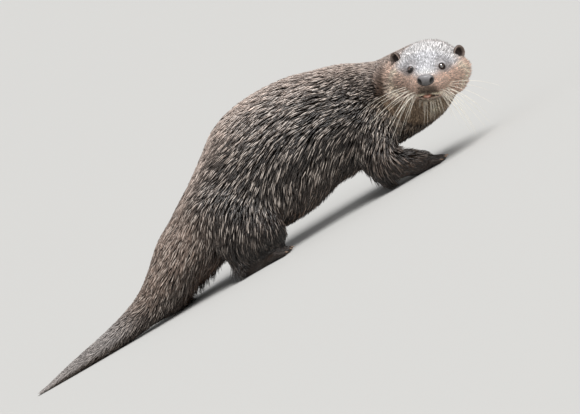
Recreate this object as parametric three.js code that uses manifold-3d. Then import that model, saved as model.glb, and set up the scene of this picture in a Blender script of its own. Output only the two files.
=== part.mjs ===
// A life-size Eurasian river otter, standing on its four feet and the length of its tail, its back arched
// and its head turned to its right and tilted. Sizes are in millimetres, out to the tips of the coat.
// +X runs from the tail to the shoulders, +Y to the otter's left, +Z up from the floor.
import * as THREE from "three";
import { mergeVertices } from "three/addons/utils/BufferGeometryUtils.js";
import Module from "manifold-3d";

const wasm = await Module();
wasm.setup();

// ---------------------------------------------------------------- driving dimensions

const ORIGIN = [443.999, -30.062, 0]; // the point of the drawing frame below that becomes the model's origin
const GAP = 0.4; // the thin cut between neighbouring pieces

// Sizes of the faces each piece is drawn with: along X, Y and Z.
const CELL = {
  trunk: [30, 23, 23], neck: [21, 21, 21], head: [11, 11, 11], leg: [22, 16, 20], foot: [11, 6.1, 7],
};
const TAIL_RINGS = { along: 50, used: 19, around: 13 };

// Body stations from the tail's tip to the back of the skull: centre x, y, z, half width, half height.
const BODY = [
  [0, 22, 2.4, 3.5, 2.6],
  [25, 20, 4.4, 9, 5],
  [60, 17, 8.6, 14, 9.2],
  [100, 13, 12.6, 18, 13.4],
  [150, 8, 18, 22, 18],
  [200, 4, 27, 27, 22.5],
  [240, 2, 38, 34, 28],
  [280, 0, 56, 44, 37],
  [320, 0, 78, 55, 47],
  [360, 0, 92, 65, 55],
  [400, 0, 108, 72, 63],
  [440, 0, 119.5, 76, 78.5],
  [480, 0, 129, 78, 97],
  [520, 0, 139, 79, 105],
  [560, 0, 146, 79, 103.5],
  [600, 0, 148, 78, 98],
  [640, 0, 143, 77, 92],
  [680, 0, 138, 75, 85],
  [716, 0, 130.5, 71, 75],
  [750, -4, 124.5, 67, 68],
  [784, -16, 124.5, 67, 66],
  [806, -32, 128, 64, 62],
  [820, -50, 133, 53, 52],
  [826, -64, 138, 38, 38],
];

// Limb stations from the body outwards: centre x, y, z, half width across, half depth fore and aft.
const LIMBS = {
  hind_right: [
    [402, -45, 112, 35, 46],
    [420, -51, 84, 38, 50],
    [433, -57, 54, 34, 59],
    [430, -59, 32, 26, 52],
    [425, -59, 16, 20, 41],
  ],
  hind_left: [
    [392, 45, 112, 35, 44],
    [366, 51, 84, 37, 42],
    [322, 62, 51, 30, 32],
    [262, 74, 29, 19, 21],
    [216, 78, 16, 15, 15],
  ],
  front_right: [
    [690, -46, 128, 35, 46],
    [686, -60, 54, 30, 35],
    [708, -67, 32, 24, 25],
    [742, -69, 17, 18, 15],
  ],
  front_left: [
    [690, 46, 128, 35, 46],
    [685, 56, 56, 28, 31],
    [688, 60, 32, 21, 22],
    [700, 60, 18, 17, 15],
  ],
};
const LIMB_BLEND = { soft: 28, from: 95, tight: 10, below: 30 }; // how a limb flows into the trunk, by height

// Each leg is parted from the body by upright ovals seen from the side: centre x and z, half sizes, lean in
// degrees, and how far from the middle of the body the cut stops.
const LEG_CUTS = {
  hind_right: [{ at: [430, 64], size: [73, 104], lean: 0, inner: 14 }],
  hind_left: [
    { at: [372, 87], size: [66, 83], lean: 4, inner: 14 },
    { at: [278, 33], size: [98, 42], lean: 19, inner: 46 },
  ],
  front_right: [
    { at: [692, 78], size: [54, 100], lean: 0, inner: 14 },
    { at: [722, 22], size: [48, 31], lean: 0, inner: 34 },
  ],
  front_left: [{ at: [692, 78], size: [54, 100], lean: 0, inner: 14 }],
};

// Feet: the back of the sole, heading in degrees, the foot's own form, and side (+1 left, -1 right).
const HIND = {
  length: 100, sole: [33, 15, 11], ball: [59, 23, 9], knuckle: 79, tip: 94, spread: 12.2, toe: 5.4,
};
const FORE = {
  length: 66, sole: [20, 16, 10], ball: [35, 19, 8.5], knuckle: 48, tip: 60, spread: 10.4, toe: 5,
};
const FEET = {
  hind_right: { heel: [386, -58], heading: -4, form: HIND, side: -1 },
  hind_left: { heel: [203, 80], heading: -19, form: HIND, side: 1 },
  front_right: { heel: [714, -68], heading: -3, form: FORE, side: -1 },
  front_left: { heel: [678, 59], heading: 3, form: FORE, side: 1 },
};
const TOES = [-2, -1, 0, 1, 2];
const TOE_NAMES = ["outer", "fourth", "third", "second", "inner"];

// The head's own frame sits midway between the eyes: forward, left and up.
const EYES_MID = new THREE.Vector3(821.3, -112, 147.4);
const HEAD_TURN = -105.4; // heading, degrees from +X
const HEAD_NOD = -10; // muzzle below level
const HEAD_TILT = -24; // crown leaning towards +X

// Head masses: centre forward, left, up, then half sizes the same way. A row with a left value is paired.
const HEAD_MASSES = {
  cranium: [-48, 0, -7.5, 52, 50, 33.5],
  brow: [-19, 0, -2, 34, 33, 20],
  bridge: [9, 0, -13, 33, 20, 16],
  whisker_pad: [17, 13.5, -20, 20, 19.5, 15.5],
  cheek: [-34, 33, -19, 36, 34, 28.5],
  chin: [5, 0, -38, 26, 25, 16],
  throat: [-32, 0, -34, 38, 42, 23],
  lip: [-10, 29, -20, 24, 20, 18],
  jowl: [-34, 31, -40, 30, 27, 20],
};
const HEAD_BLEND = 11;
const NECK_BLEND = 22;
const EYE = { at: [-1, 23.8, 0], radius: 6.6 };
const NOSE = { at: [37.5, 0, -7.5], size: [6.5, 13.6, 9.4] };
const EAR = { at: [-37, 52.5, 7], size: [7, 10.2, 12.8], wall: 2.2, cup: 6, yaw: 38 };
const MOUTH = { width: 28, height: 6.8, rise: 3, up: -38, from: 12, to: 46 };
const TONGUE = { at: [23.5, -2, -38.4], size: [10.5, 7.4, 2.6] };

// Where the long body is parted: a point of each cut and the way it faces.
const TAIL_CUT = { at: [322, 0, 80], facing: [0.9, 0, 0.43] };
const NECK_CUT = { at: [726, 0, 128], facing: [0.97, -0.12, -0.18] };
const HEAD_CUT = { at: [-8, 0, -8], size: [60, 77, 64] }; // an egg that holds the face, skull and cheeks

const CLAW = { length: 8.5, radius: 1.9, drop: 2.6 };

// ---------------------------------------------------------------- colours

const finish = (color, roughness) => new THREE.MeshStandardMaterial({ color, roughness, metalness: 0 });
const FUR = finish(0x5d4c42, 0.6);
const FACE_FUR = finish(0x8d8078, 0.6);
const TAIL_FUR = finish(0x6c5c53, 0.55);
const PAW_SKIN = finish(0x3a2d28, 0.5);
const EYE_DARK = finish(0x17100c, 0.05);
const NOSE_SKIN = finish(0x3b3a3c, 0.35);
const HORN = finish(0xc99066, 0.4);
const TONGUE_PINK = finish(0xc98470, 0.4);

// ---------------------------------------------------------------- distance fields

// Smooth union: the nearer of two surfaces, with a fillet where they are within `blend` of each other.
function blended(a, b, blend) {
  const share = Math.max(blend - Math.abs(a - b), 0) / blend;
  return Math.min(a, b) - (share * share * blend) / 4;
}

// Distance to an ellipsoid, close to its surface.
function ellipsoid(x, y, z, sx, sy, sz) {
  const unit = Math.hypot(x / sx, y / sy, z / sz);
  const slope = Math.hypot(x / (sx * sx), y / (sy * sy), z / (sz * sz));
  return unit < 1e-6 ? -Math.min(sx, sy, sz) : (unit * (unit - 1)) / slope;
}

const SIDEWAYS = new THREE.Vector3(0, 1, 0);

// The centres and half sizes of sections along a smooth curve through the stations.
function sections(stations, steps) {
  const smooth = (points) => new THREE.CatmullRomCurve3(points, false, "catmullrom", 0.5);
  const centre = smooth(stations.map(([x, y, z]) => new THREE.Vector3(x, y, z)));
  const half = smooth(stations.map(([, , , w, h]) => new THREE.Vector3(w, h, 0)));
  const section = (t) => ({ c: centre.getPoint(t), s: half.getPoint(t) });
  return Array.from({ length: steps + 1 }, (_, i) => section(i / steps));
}

// A tube with an elliptical section that follows the curve through its stations. Widths are measured level
// and square to the curve, or towards `across` where that is given.
function tube(stations, steps, across) {
  const rings = sections(stations, steps);
  const links = rings.slice(1).map((b, i) => {
    const a = rings[i];
    const way = b.c.clone().sub(a.c);
    const tangent = way.clone().normalize();
    const side = across
      ? across.clone().addScaledVector(tangent, -across.dot(tangent)).normalize()
      : new THREE.Vector3(-tangent.y, tangent.x, 0).normalize();
    return { a, b, way, squared: way.lengthSq(), tangent, side, rise: tangent.clone().cross(side) };
  });
  return (x, y, z) => {
    let best = Infinity;
    let found, along;
    for (const link of links) {
      const { a, way } = link;
      const dx = x - a.c.x;
      const dy = y - a.c.y;
      const dz = z - a.c.z;
      const t = Math.min(1, Math.max(0, (dx * way.x + dy * way.y + dz * way.z) / link.squared));
      const d = (dx - way.x * t) ** 2 + (dy - way.y * t) ** 2 + (dz - way.z * t) ** 2;
      if (d < best) [best, found, along] = [d, link, t];
    }
    const { a, b, way, tangent, side, rise } = found;
    const px = x - a.c.x - way.x * along;
    const py = y - a.c.y - way.y * along;
    const pz = z - a.c.z - way.z * along;
    const half = a.s.x + (b.s.x - a.s.x) * along;
    const tall = a.s.y + (b.s.y - a.s.y) * along;
    const across = (px * side.x + py * side.y) / half;
    const up = (px * rise.x + py * rise.y + pz * rise.z) / tall;
    const ahead = (2 * (px * tangent.x + py * tangent.y + pz * tangent.z)) / (half + tall);
    const unit = Math.hypot(across, up, ahead);
    return unit < 1e-4 ? -Math.min(half, tall) : Math.sqrt(best) * (1 - 1 / unit);
  };
}

// ---------------------------------------------------------------- the head's frame

const turn = THREE.MathUtils.degToRad(HEAD_TURN);
const nod = THREE.MathUtils.degToRad(HEAD_NOD);
const FORWARD = new THREE.Vector3(
  Math.cos(nod) * Math.cos(turn), Math.cos(nod) * Math.sin(turn), Math.sin(nod));
const LEVEL_LEFT = new THREE.Vector3(-Math.sin(turn), Math.cos(turn), 0);
const LEFT = LEVEL_LEFT.clone().applyAxisAngle(FORWARD, THREE.MathUtils.degToRad(HEAD_TILT));
const UP = FORWARD.clone().cross(LEFT);
const HEAD_FRAME = new THREE.Matrix4().makeBasis(FORWARD, LEFT, UP).setPosition(EYES_MID);

// Runs a field written in the head's frame on points of the drawing frame.
function inHead(field) {
  return (x, y, z) => {
    const dx = x - EYES_MID.x;
    const dy = y - EYES_MID.y;
    const dz = z - EYES_MID.z;
    return field(
      dx * FORWARD.x + dy * FORWARD.y + dz * FORWARD.z,
      dx * LEFT.x + dy * LEFT.y + dz * LEFT.z,
      dx * UP.x + dy * UP.y + dz * UP.z,
    );
  };
}

const headField = inHead((f, l, u) => {
  let d = Infinity;
  for (const [mf, ml, mu, sf, sl, su] of Object.values(HEAD_MASSES))
    d = blended(d, ellipsoid(f - mf, (ml ? Math.abs(l) : l) - ml, u - mu, sf, sl, su), HEAD_BLEND);
  return d;
});

// ---------------------------------------------------------------- body and foot fields

const spineField = tube(BODY, 92);
const limbFields = Object.values(LIMBS).map((stations) => tube(stations, 16, SIDEWAYS));
const bodyField = (x, y, z) => {
  const { soft, from, tight, below } = LIMB_BLEND;
  const blend = THREE.MathUtils.mapLinear(Math.min(from, Math.max(below, z)), below, from, tight, soft);
  let d = spineField(x, y, z);
  for (const limb of limbFields) d = blended(d, limb(x, y, z), blend);
  return blended(d, headField(x, y, z), NECK_BLEND);
};

// Toe joints in a foot's own frame: x ahead of the heel, y inwards, z up. Outer toes stop short.
function toeJoints(form, i) {
  const short = 2.6 * i * i + (i === 2 ? 5 : 0);
  return [
    [form.ball[0], i * form.spread * 0.72, 7.5, form.toe],
    [form.knuckle - short, i * form.spread * 0.9, 9.4, form.toe],
    [form.tip - short, i * form.spread * 1.06, 4.4, form.toe * 0.86],
  ];
}

function footFrame({ heel, heading, side }) {
  const a = THREE.MathUtils.degToRad(heading);
  return {
    to: (x, y) => {
      const dx = x - heel[0];
      const dy = y - heel[1];
      return [dx * Math.cos(a) + dy * Math.sin(a), -side * (dy * Math.cos(a) - dx * Math.sin(a))];
    },
    from: (fx, fy, z) => {
      const across = -side * fy;
      return [
        heel[0] + fx * Math.cos(a) - across * Math.sin(a),
        heel[1] + fx * Math.sin(a) + across * Math.cos(a), z,
      ];
    },
  };
}

// Distance to a rod whose thickness changes evenly from a to b.
function rod(x, y, z, a, b) {
  const way = [b[0] - a[0], b[1] - a[1], b[2] - a[2]];
  const p = [x - a[0], y - a[1], z - a[2]];
  const t = Math.min(1, Math.max(0, (p[0] * way[0] + p[1] * way[1] + p[2] * way[2]) /
    (way[0] ** 2 + way[1] ** 2 + way[2] ** 2)));
  return Math.hypot(p[0] - way[0] * t, p[1] - way[1] * t, p[2] - way[2] * t) - (a[3] + (b[3] - a[3]) * t);
}

function footField(foot) {
  const { form } = foot;
  const frame = footFrame(foot);
  const toes = TOES.map((i) => toeJoints(form, i));
  const web = [(form.ball[0] + form.tip) / 2 - 2, (form.tip - form.ball[0]) / 2, form.spread * 2.1];
  return (x, y, z) => {
    const [fx, fy] = frame.to(x, y);
    const [length, width, height] = form.sole;
    let d = ellipsoid(fx - length, fy, z - height + 1, length + 3, width, height);
    d = blended(d, ellipsoid(fx - form.ball[0], fy, z - 7.4, 17, form.ball[1], form.ball[2]), 8);
    for (const [root, knuckle, tip] of toes)
      d = blended(d, Math.min(rod(fx, fy, z, root, knuckle), rod(fx, fy, z, knuckle, tip)), 3);
    return blended(d, ellipsoid(fx - web[0], fy, z - 3.4, web[1], web[2], 3.2), 4);
  };
}

// ---------------------------------------------------------------- surfaces from fields

// Wraps the surface where a field is zero: one vertex in each cell of a grid that the surface crosses, joined
// to its neighbours, then drawn onto the surface. The field is taken as outside at the edge of the box.
function wrap(field, low, high, cell) {
  const n = low.map((v, i) => Math.ceil((high[i] - v) / cell[i]) + 1);
  const at = (i, j, k) => i + n[0] * (j + n[1] * k);
  const values = new Float32Array(n[0] * n[1] * n[2]);
  for (let k = 0; k < n[2]; k++)
    for (let j = 0; j < n[1]; j++)
      for (let i = 0; i < n[0]; i++) {
        const edge = !i || !j || !k || i === n[0] - 1 || j === n[1] - 1 || k === n[2] - 1;
        const d = field(low[0] + i * cell[0], low[1] + j * cell[1], low[2] + k * cell[2]);
        values[at(i, j, k)] = edge ? Math.max(d, 0.1) : d || 1e-6;
      }
  const vertexOf = new Map();
  const places = [];
  for (let k = 0; k < n[2] - 1; k++)
    for (let j = 0; j < n[1] - 1; j++)
      for (let i = 0; i < n[0] - 1; i++) {
        const sum = [0, 0, 0];
        let crossings = 0;
        for (let axis = 0; axis < 3; axis++)
          for (let corner = 0; corner < 4; corner++) {
            const from = [i, j, k];
            from[(axis + 1) % 3] += corner & 1;
            from[(axis + 2) % 3] += corner >> 1;
            const to = [...from];
            to[axis]++;
            const a = values[at(...from)];
            const b = values[at(...to)];
            if (a < 0 === b < 0) continue;
            from[axis] += a / (a - b);
            from.forEach((v, m) => (sum[m] += v));
            crossings++;
          }
        if (!crossings) continue;
        vertexOf.set(at(i, j, k), places.length);
        places.push(sum.map((v, m) => low[m] + (cell[m] * v) / crossings));
      }
  const faces = [];
  for (let k = 0; k < n[2] - 1; k++)
    for (let j = 0; j < n[1] - 1; j++)
      for (let i = 0; i < n[0] - 1; i++)
        for (let axis = 0; axis < 3; axis++) {
          const next = [i, j, k];
          next[axis]++;
          const inside = values[at(i, j, k)] < 0;
          if (inside === values[at(...next)] < 0) continue;
          const ring = [[0, 0], [-1, 0], [-1, -1], [0, -1]].map(([p, q]) => {
            const c = [i, j, k];
            c[(axis + 1) % 3] += p;
            c[(axis + 2) % 3] += q;
            return vertexOf.get(at(...c));
          });
          const [a, b, c, d] = inside ? ring : ring.reverse();
          faces.push(a, b, c, a, c, d);
        }
  const near = Math.min(...cell) * 0.7;
  const drawn = places.map((p) => (Math.abs(field(...p)) < near ? settle(field, p) : p));
  return new THREE.BufferGeometry()
    .setAttribute("position", new THREE.Float32BufferAttribute(drawn.flat(), 3))
    .setIndex(faces);
}

// Moves a point onto the surface of a field along the field's slope.
function settle(field, point) {
  const reach = 0.05;
  let [x, y, z] = point;
  for (let pass = 0; pass < 3; pass++) {
    const d = field(x, y, z);
    const slope = [
      (field(x + reach, y, z) - d) / reach,
      (field(x, y + reach, z) - d) / reach,
      (field(x, y, z + reach) - d) / reach,
    ];
    const squared = slope[0] ** 2 + slope[1] ** 2 + slope[2] ** 2;
    const step = Math.max(-3, Math.min(3, d)) / Math.max(squared, 0.25);
    [x, y, z] = [x - slope[0] * step, y - slope[1] * step, z - slope[2] * step];
  }
  return [x, y, z];
}

// ---------------------------------------------------------------- solids: joining and cutting

function solid(geometry) {
  const bare = geometry.index ? geometry.toNonIndexed() : geometry.clone();
  bare.deleteAttribute("normal");
  bare.deleteAttribute("uv");
  const merged = mergeVertices(bare, 1e-4);
  return new wasm.Manifold(new wasm.Mesh({
    numProp: 3,
    vertProperties: new Float32Array(merged.attributes.position.array),
    triVerts: new Uint32Array(merged.index.array),
  }));
}

function geometryOf(made) {
  const { vertProperties, triVerts } = made.getMesh();
  return new THREE.BufferGeometry()
    .setAttribute("position", new THREE.BufferAttribute(new Float32Array(vertProperties), 3))
    .setIndex(new THREE.BufferAttribute(new Uint32Array(triVerts), 1));
}

// The same solid with its skin pushed outwards, so that what is cut by it keeps a gap.
function grown(made, by = GAP) {
  const geometry = geometryOf(made);
  geometry.computeVertexNormals();
  const place = geometry.attributes.position;
  const normal = geometry.attributes.normal;
  for (let i = 0; i < place.count; i++)
    place.setXYZ(i, place.getX(i) + normal.getX(i) * by, place.getY(i) + normal.getY(i) * by,
      place.getZ(i) + normal.getZ(i) * by);
  return solid(geometry);
}

// Draws two stretches of one surface a hair apart where they touch at a single point.
function parted(made) {
  const geometry = geometryOf(made);
  geometry.computeVertexNormals();
  const place = geometry.attributes.position;
  const normal = geometry.attributes.normal;
  const keyOf = (i) => [place.getX(i), place.getY(i), place.getZ(i)].join();
  const keys = Array.from({ length: place.count }, (_, i) => keyOf(i));
  const uses = keys.reduce((count, key) => count.set(key, (count.get(key) ?? 0) + 1), new Map());
  keys.forEach((key, i) => {
    if (uses.get(key) < 2) return;
    place.setXYZ(i, place.getX(i) - normal.getX(i) * GAP, place.getY(i) - normal.getY(i) * GAP,
      place.getZ(i) - normal.getZ(i) * GAP);
  });
  return solid(geometry);
}

// Everything in front of a plane, set back by half the gap.
function ahead(at, facing) {
  const size = 2400;
  const way = new THREE.Vector3(...facing).normalize();
  const block = new THREE.BoxGeometry(size, size, size)
    .applyQuaternion(new THREE.Quaternion().setFromUnitVectors(new THREE.Vector3(0, 0, 1), way));
  const centre = new THREE.Vector3(...at).addScaledVector(way, size / 2 + GAP / 2);
  return solid(block.translate(centre.x, centre.y, centre.z));
}
const behind = ({ at, facing }) => ahead(at, facing.map((v) => -v));

// Only the largest piece, where a cut leaves a sliver beside it.
function whole(made) {
  return made.decompose().reduce((a, b) => (a.volume() > b.volume() ? a : b));
}

const FLOOR = ahead([0, 0, -GAP / 2], [0, 0, 1]);

// ---------------------------------------------------------------- the pieces

const otter = new THREE.Group();
const drawn = new THREE.Group(); // holds every piece in the drawing frame
drawn.position.set(-ORIGIN[0], -ORIGIN[1], -ORIGIN[2]);
otter.add(drawn);

function piece(name, made, material) {
  const mesh = new THREE.Mesh(geometryOf(whole(made)), material);
  mesh.name = name;
  drawn.add(mesh);
}

// A block of the body field, closed at the block's sides.
const bodyBlock = (low, high, cell) => parted(solid(wrap(bodyField, low, high, cell))).intersect(FLOOR);

// The upright ovals that part a leg, run outwards past the flank.
function legCut(name, side, margin) {
  const ovals = LEG_CUTS[name].map(({ at, size, lean, inner }) => {
    const start = inner - margin;
    const end = 140;
    const drum = new THREE.CylinderGeometry(1, 1, end - start, 16)
      .scale(size[0] + margin, 1, size[1] + margin)
      .rotateY(-THREE.MathUtils.degToRad(lean))
      .translate(at[0], (side * (start + end)) / 2, at[1]);
    return solid(drum);
  });
  return ovals.reduce((a, b) => a.add(b));
}

function makeLegs(feet) {
  for (const [name, stations] of Object.entries(LIMBS)) {
    const xs = stations.map((s) => s[0]);
    const { side } = FEET[name];
    const low = [Math.min(...xs) - 75, side < 0 ? -130 : -12, -30];
    const high = [Math.max(...xs) + 75, side < 0 ? 12 : 130, 200];
    const leg = bodyBlock(low, high, CELL.leg).intersect(legCut(name, side, 0));
    piece(`leg_${name}`, leg.subtract(grown(feet[name])), FUR);
  }
}

function makeFeet() {
  const feet = {};
  for (const [name, foot] of Object.entries(FEET)) {
    const reach = foot.form.length + 20;
    const [x, y] = foot.heel;
    const field = footField(foot);
    const made = parted(solid(wrap(field, [x - 30, y - 70, -14], [x + reach, y + 70, 36], CELL.foot)));
    feet[name] = whole(made.intersect(FLOOR));
    piece(`foot_${name}`, feet[name], PAW_SKIN);
    makeClaws(name, foot, grown(feet[name], 0.3));
  }
  return feet;
}

// A claw is a small horn that bends down as it runs out from the toe.
function makeClaws(name, foot, paw) {
  const frame = footFrame(foot);
  TOES.forEach((i, n) => {
    const [, knuckle, tip] = toeJoints(foot.form, i);
    const profile = [[0, 0], [1, 0.1], [0.8, 0.5], [0, 1]]
      .map(([r, along]) => new THREE.Vector2(r * CLAW.radius, along * CLAW.length));
    const horn = new THREE.LatheGeometry(profile, 5);
    const out = Math.atan2(tip[1] - knuckle[1], tip[0] - knuckle[0]);
    const place = horn.attributes.position;
    for (let v = 0; v < place.count; v++) {
      const along = place.getY(v);
      const ahead = tip[0] + along * Math.cos(out) - place.getX(v) * Math.sin(out);
      const across = tip[1] + along * Math.sin(out) + place.getX(v) * Math.cos(out);
      const height = tip[2] + 1.6 + place.getZ(v) - CLAW.drop * (along / CLAW.length) ** 2;
      place.setXYZ(v, ...frame.from(ahead, across, height));
    }
    let made = solid(horn);
    if (made.volume() < 0) made = solid(flipped(horn));
    piece(`claw_${name}_${TOE_NAMES[n]}`, made.subtract(paw), HORN);
  });
}

// The same faces turned round, for a shape that was mirrored.
function flipped(geometry) {
  const turned = geometry.index.array.slice();
  for (let i = 0; i < turned.length; i += 3) [turned[i + 1], turned[i + 2]] = [turned[i + 2], turned[i + 1]];
  return geometry.clone().setIndex(new THREE.BufferAttribute(turned, 1));
}

// The tail as rings of the body's own sections, closed at both ends.
function tailTube() {
  const { along, used, around } = TAIL_RINGS;
  const rings = sections(BODY, along).slice(0, used);
  const corners = [];
  rings.forEach(({ c, s }, i) => {
    const way = rings[Math.min(i + 1, used - 1)].c.clone().sub(rings[Math.max(i - 1, 0)].c).normalize();
    const side = new THREE.Vector3(-way.y, way.x, 0).normalize();
    const rise = way.clone().cross(side);
    for (let n = 0; n < around; n++) {
      const a = (n / around) * 2 * Math.PI;
      const edge = c.clone().addScaledVector(side, s.x * Math.cos(a));
      corners.push(edge.addScaledVector(rise, s.y * Math.sin(a)));
    }
  });
  const faces = [];
  for (let i = 0; i < used - 1; i++)
    for (let n = 0; n < around; n++) {
      const a = i * around + n;
      const b = i * around + ((n + 1) % around);
      faces.push(a, b, b + around, a, b + around, a + around);
    }
  const tip = rings[0].c.clone().sub(new THREE.Vector3(rings[0].s.x, 0, 0));
  corners.push(tip, rings[used - 1].c);
  for (let n = 0; n < around; n++) {
    const next = (n + 1) % around;
    const last = (used - 1) * around;
    faces.push(corners.length - 2, next, n, corners.length - 1, last + n, last + next);
  }
  return solid(new THREE.BufferGeometry().setFromPoints(corners).setIndex(faces));
}

function makeTail(cuts) {
  const block = tailTube().intersect(behind(TAIL_CUT)).intersect(FLOOR);
  piece("tail", cuts.reduce((left, cut) => left.subtract(cut), block), TAIL_FUR);
}

function makeTrunk(cuts) {
  const block = bodyBlock([270, -130, -12], [790, 130, 275], CELL.trunk)
    .intersect(ahead(TAIL_CUT.at, TAIL_CUT.facing)).intersect(behind(NECK_CUT));
  piece("trunk", cuts.reduce((left, cut) => left.subtract(cut), block), FUR);
}

function makeNeck(cuts) {
  const block = bodyBlock([690, -120, 30], [920, 95, 240], CELL.neck)
    .intersect(ahead(NECK_CUT.at, NECK_CUT.facing));
  piece("neck", [...cuts, grown(headEgg())].reduce((left, cut) => left.subtract(cut), block), FUR);
}

// A rounded slot across the front of the muzzle, drawn in the left-up plane and run forwards.
function mouthSlot() {
  const { width, height, rise, up, from, to } = MOUTH;
  const lips = new THREE.Shape();
  lips.moveTo(-width / 2, up);
  lips.quadraticCurveTo(0, up + height / 2 + rise, width / 2, up);
  lips.quadraticCurveTo(0, up - height / 2 - rise, -width / 2, up);
  const slot = new THREE.ExtrudeGeometry(lips, { depth: to - from, bevelEnabled: false, curveSegments: 6 });
  const turned = new THREE.Matrix4().makeBasis(
    new THREE.Vector3(0, 1, 0), new THREE.Vector3(0, 0, 1), new THREE.Vector3(1, 0, 0));
  return solid(slot.translate(0, 0, from).applyMatrix4(turned).applyMatrix4(HEAD_FRAME));
}

function ball(at, size, around, along) {
  const shape = new THREE.SphereGeometry(1, around, along).scale(...size);
  return solid(shape.translate(...at).applyMatrix4(HEAD_FRAME));
}

function makeEars() {
  return [["right", -1], ["left", 1]].map(([side, sign]) => {
    const { at, size, wall, cup, yaw } = EAR;
    const place = (shape) => solid(shape
      .rotateZ(sign * THREE.MathUtils.degToRad(yaw))
      .translate(at[0], sign * at[1], at[2])
      .applyMatrix4(HEAD_FRAME));
    const shell = new THREE.SphereGeometry(1, 10, 7).scale(...size);
    const hollow = new THREE.SphereGeometry(1, 10, 6).scale(size[0], size[1] - wall, size[2] - wall);
    const outer = place(shell);
    piece(`ear_${side}`, outer.subtract(place(hollow.translate(cup, 0, 0))), FUR);
    return grown(outer);
  });
}

const headEgg = () => ball(HEAD_CUT.at, HEAD_CUT.size, 16, 10);

function makeHead(cuts) {
  let head = bodyBlock([710, -180, 40], [925, 20, 235], CELL.head).intersect(headEgg());
  for (const cut of cuts) head = head.subtract(cut);
  for (const [side, sign] of [["right", -1], ["left", 1]]) {
    const [f, l, u] = EYE.at;
    const eyeAt = [f, sign * l, u];
    head = head.subtract(ball(eyeAt, [EYE.radius, EYE.radius, EYE.radius].map((r) => r + GAP), 9, 7));
    piece(`eye_${side}`, ball(eyeAt, [EYE.radius, EYE.radius, EYE.radius], 9, 7), EYE_DARK);
  }
  const nose = ball(NOSE.at, NOSE.size, 12, 7);
  const tongue = ball(TONGUE.at, TONGUE.size, 10, 6);
  piece("nose", nose, NOSE_SKIN);
  piece("tongue", tongue, TONGUE_PINK);
  piece("head", head.subtract(grown(nose)).subtract(mouthSlot()).subtract(grown(tongue)), FACE_FUR);
}

const feet = makeFeet();
makeLegs(feet);
const cuts = Object.entries(FEET).map(([name, { side }]) => legCut(name, side, GAP));
makeTail([...cuts, grown(feet.hind_left)]);
makeTrunk(cuts);
const ears = makeEars();
makeNeck([...cuts, ...ears]);
makeHead(ears);

export default otter;
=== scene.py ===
"""A wet Eurasian river otter: one skin, a coat of pointed wet locks, and the eyes, ears, nose, tongue,
claws and whiskers. Shapes are worked out in millimetres in the drawing frame of the solids, then moved to
metres."""
import math
import bpy
import numpy as np
from mathutils import Matrix, Vector


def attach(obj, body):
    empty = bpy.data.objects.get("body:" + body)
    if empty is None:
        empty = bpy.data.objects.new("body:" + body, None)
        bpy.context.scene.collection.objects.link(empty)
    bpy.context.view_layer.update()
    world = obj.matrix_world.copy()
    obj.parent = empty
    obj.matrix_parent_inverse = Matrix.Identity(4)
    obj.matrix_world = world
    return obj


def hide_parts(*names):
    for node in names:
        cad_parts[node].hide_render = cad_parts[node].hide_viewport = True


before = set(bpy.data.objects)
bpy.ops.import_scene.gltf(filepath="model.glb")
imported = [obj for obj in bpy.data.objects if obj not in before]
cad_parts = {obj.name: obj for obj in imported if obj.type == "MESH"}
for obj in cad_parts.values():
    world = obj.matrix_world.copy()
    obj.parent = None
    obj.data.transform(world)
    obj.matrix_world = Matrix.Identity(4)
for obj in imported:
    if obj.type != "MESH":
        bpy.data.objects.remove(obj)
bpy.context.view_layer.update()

# ---------------------------------------------------- sizes shared with the solids (millimetres)

ORIGIN = np.array([443.999, -30.062, 0.0])

BODY = [  # stations from the tail's tip: centre forward, left, up, then half sizes across and up
    [0, 22, 2.4, 3.5, 2.6], [25, 20, 4.4, 9, 5], [60, 17, 8.6, 14, 9.2], [100, 13, 12.6, 18, 13.4],
    [150, 8, 18, 22, 18], [200, 4, 27, 27, 22.5], [240, 2, 38, 34, 28], [280, 0, 56, 44, 37],
    [320, 0, 78, 55, 47], [360, 0, 92, 65, 55], [400, 0, 108, 72, 63], [440, 0, 119.5, 76, 78.5],
    [480, 0, 129, 78, 97], [520, 0, 139, 79, 105], [560, 0, 146, 79, 103.5], [600, 0, 148, 78, 98],
    [640, 0, 143, 77, 92], [680, 0, 138, 75, 85], [716, 0, 130.5, 71, 75], [750, -4, 124.5, 67, 68],
    [784, -16, 124.5, 67, 66], [806, -32, 128, 64, 62], [820, -50, 133, 53, 52], [826, -64, 138, 38, 38],
]
LIMBS = {
    "hind_right": [[402, -45, 112, 35, 46], [420, -51, 84, 38, 50], [433, -57, 54, 34, 59],
                   [430, -59, 32, 26, 52], [425, -59, 16, 20, 41]],
    "hind_left": [[392, 45, 112, 35, 44], [366, 51, 84, 37, 42], [322, 62, 51, 30, 32],
                  [262, 74, 29, 19, 21], [216, 78, 16, 15, 15]],
    "front_right": [[690, -46, 128, 35, 46], [686, -60, 54, 30, 35], [708, -67, 32, 24, 25],
                    [742, -69, 17, 18, 15]],
    "front_left": [[690, 46, 128, 35, 46], [685, 56, 56, 28, 31], [688, 60, 32, 21, 22],
                   [700, 60, 18, 17, 15]],
}
HIND = dict(length=100, sole=(33, 15, 11), ball=(59, 23, 9), knuckle=79, tip=94, spread=12.2, toe=5.4)
FORE = dict(length=66, sole=(20, 16, 10), ball=(35, 19, 8.5), knuckle=48, tip=60, spread=10.4, toe=5)
FEET = {
    "hind_right": dict(heel=(386, -58), heading=-4, form=HIND, side=-1),
    "hind_left": dict(heel=(203, 80), heading=-19, form=HIND, side=1),
    "front_right": dict(heel=(714, -68), heading=-3, form=FORE, side=-1),
    "front_left": dict(heel=(678, 59), heading=3, form=FORE, side=1),
}
TOES = (-2, -1, 0, 1, 2)
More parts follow.
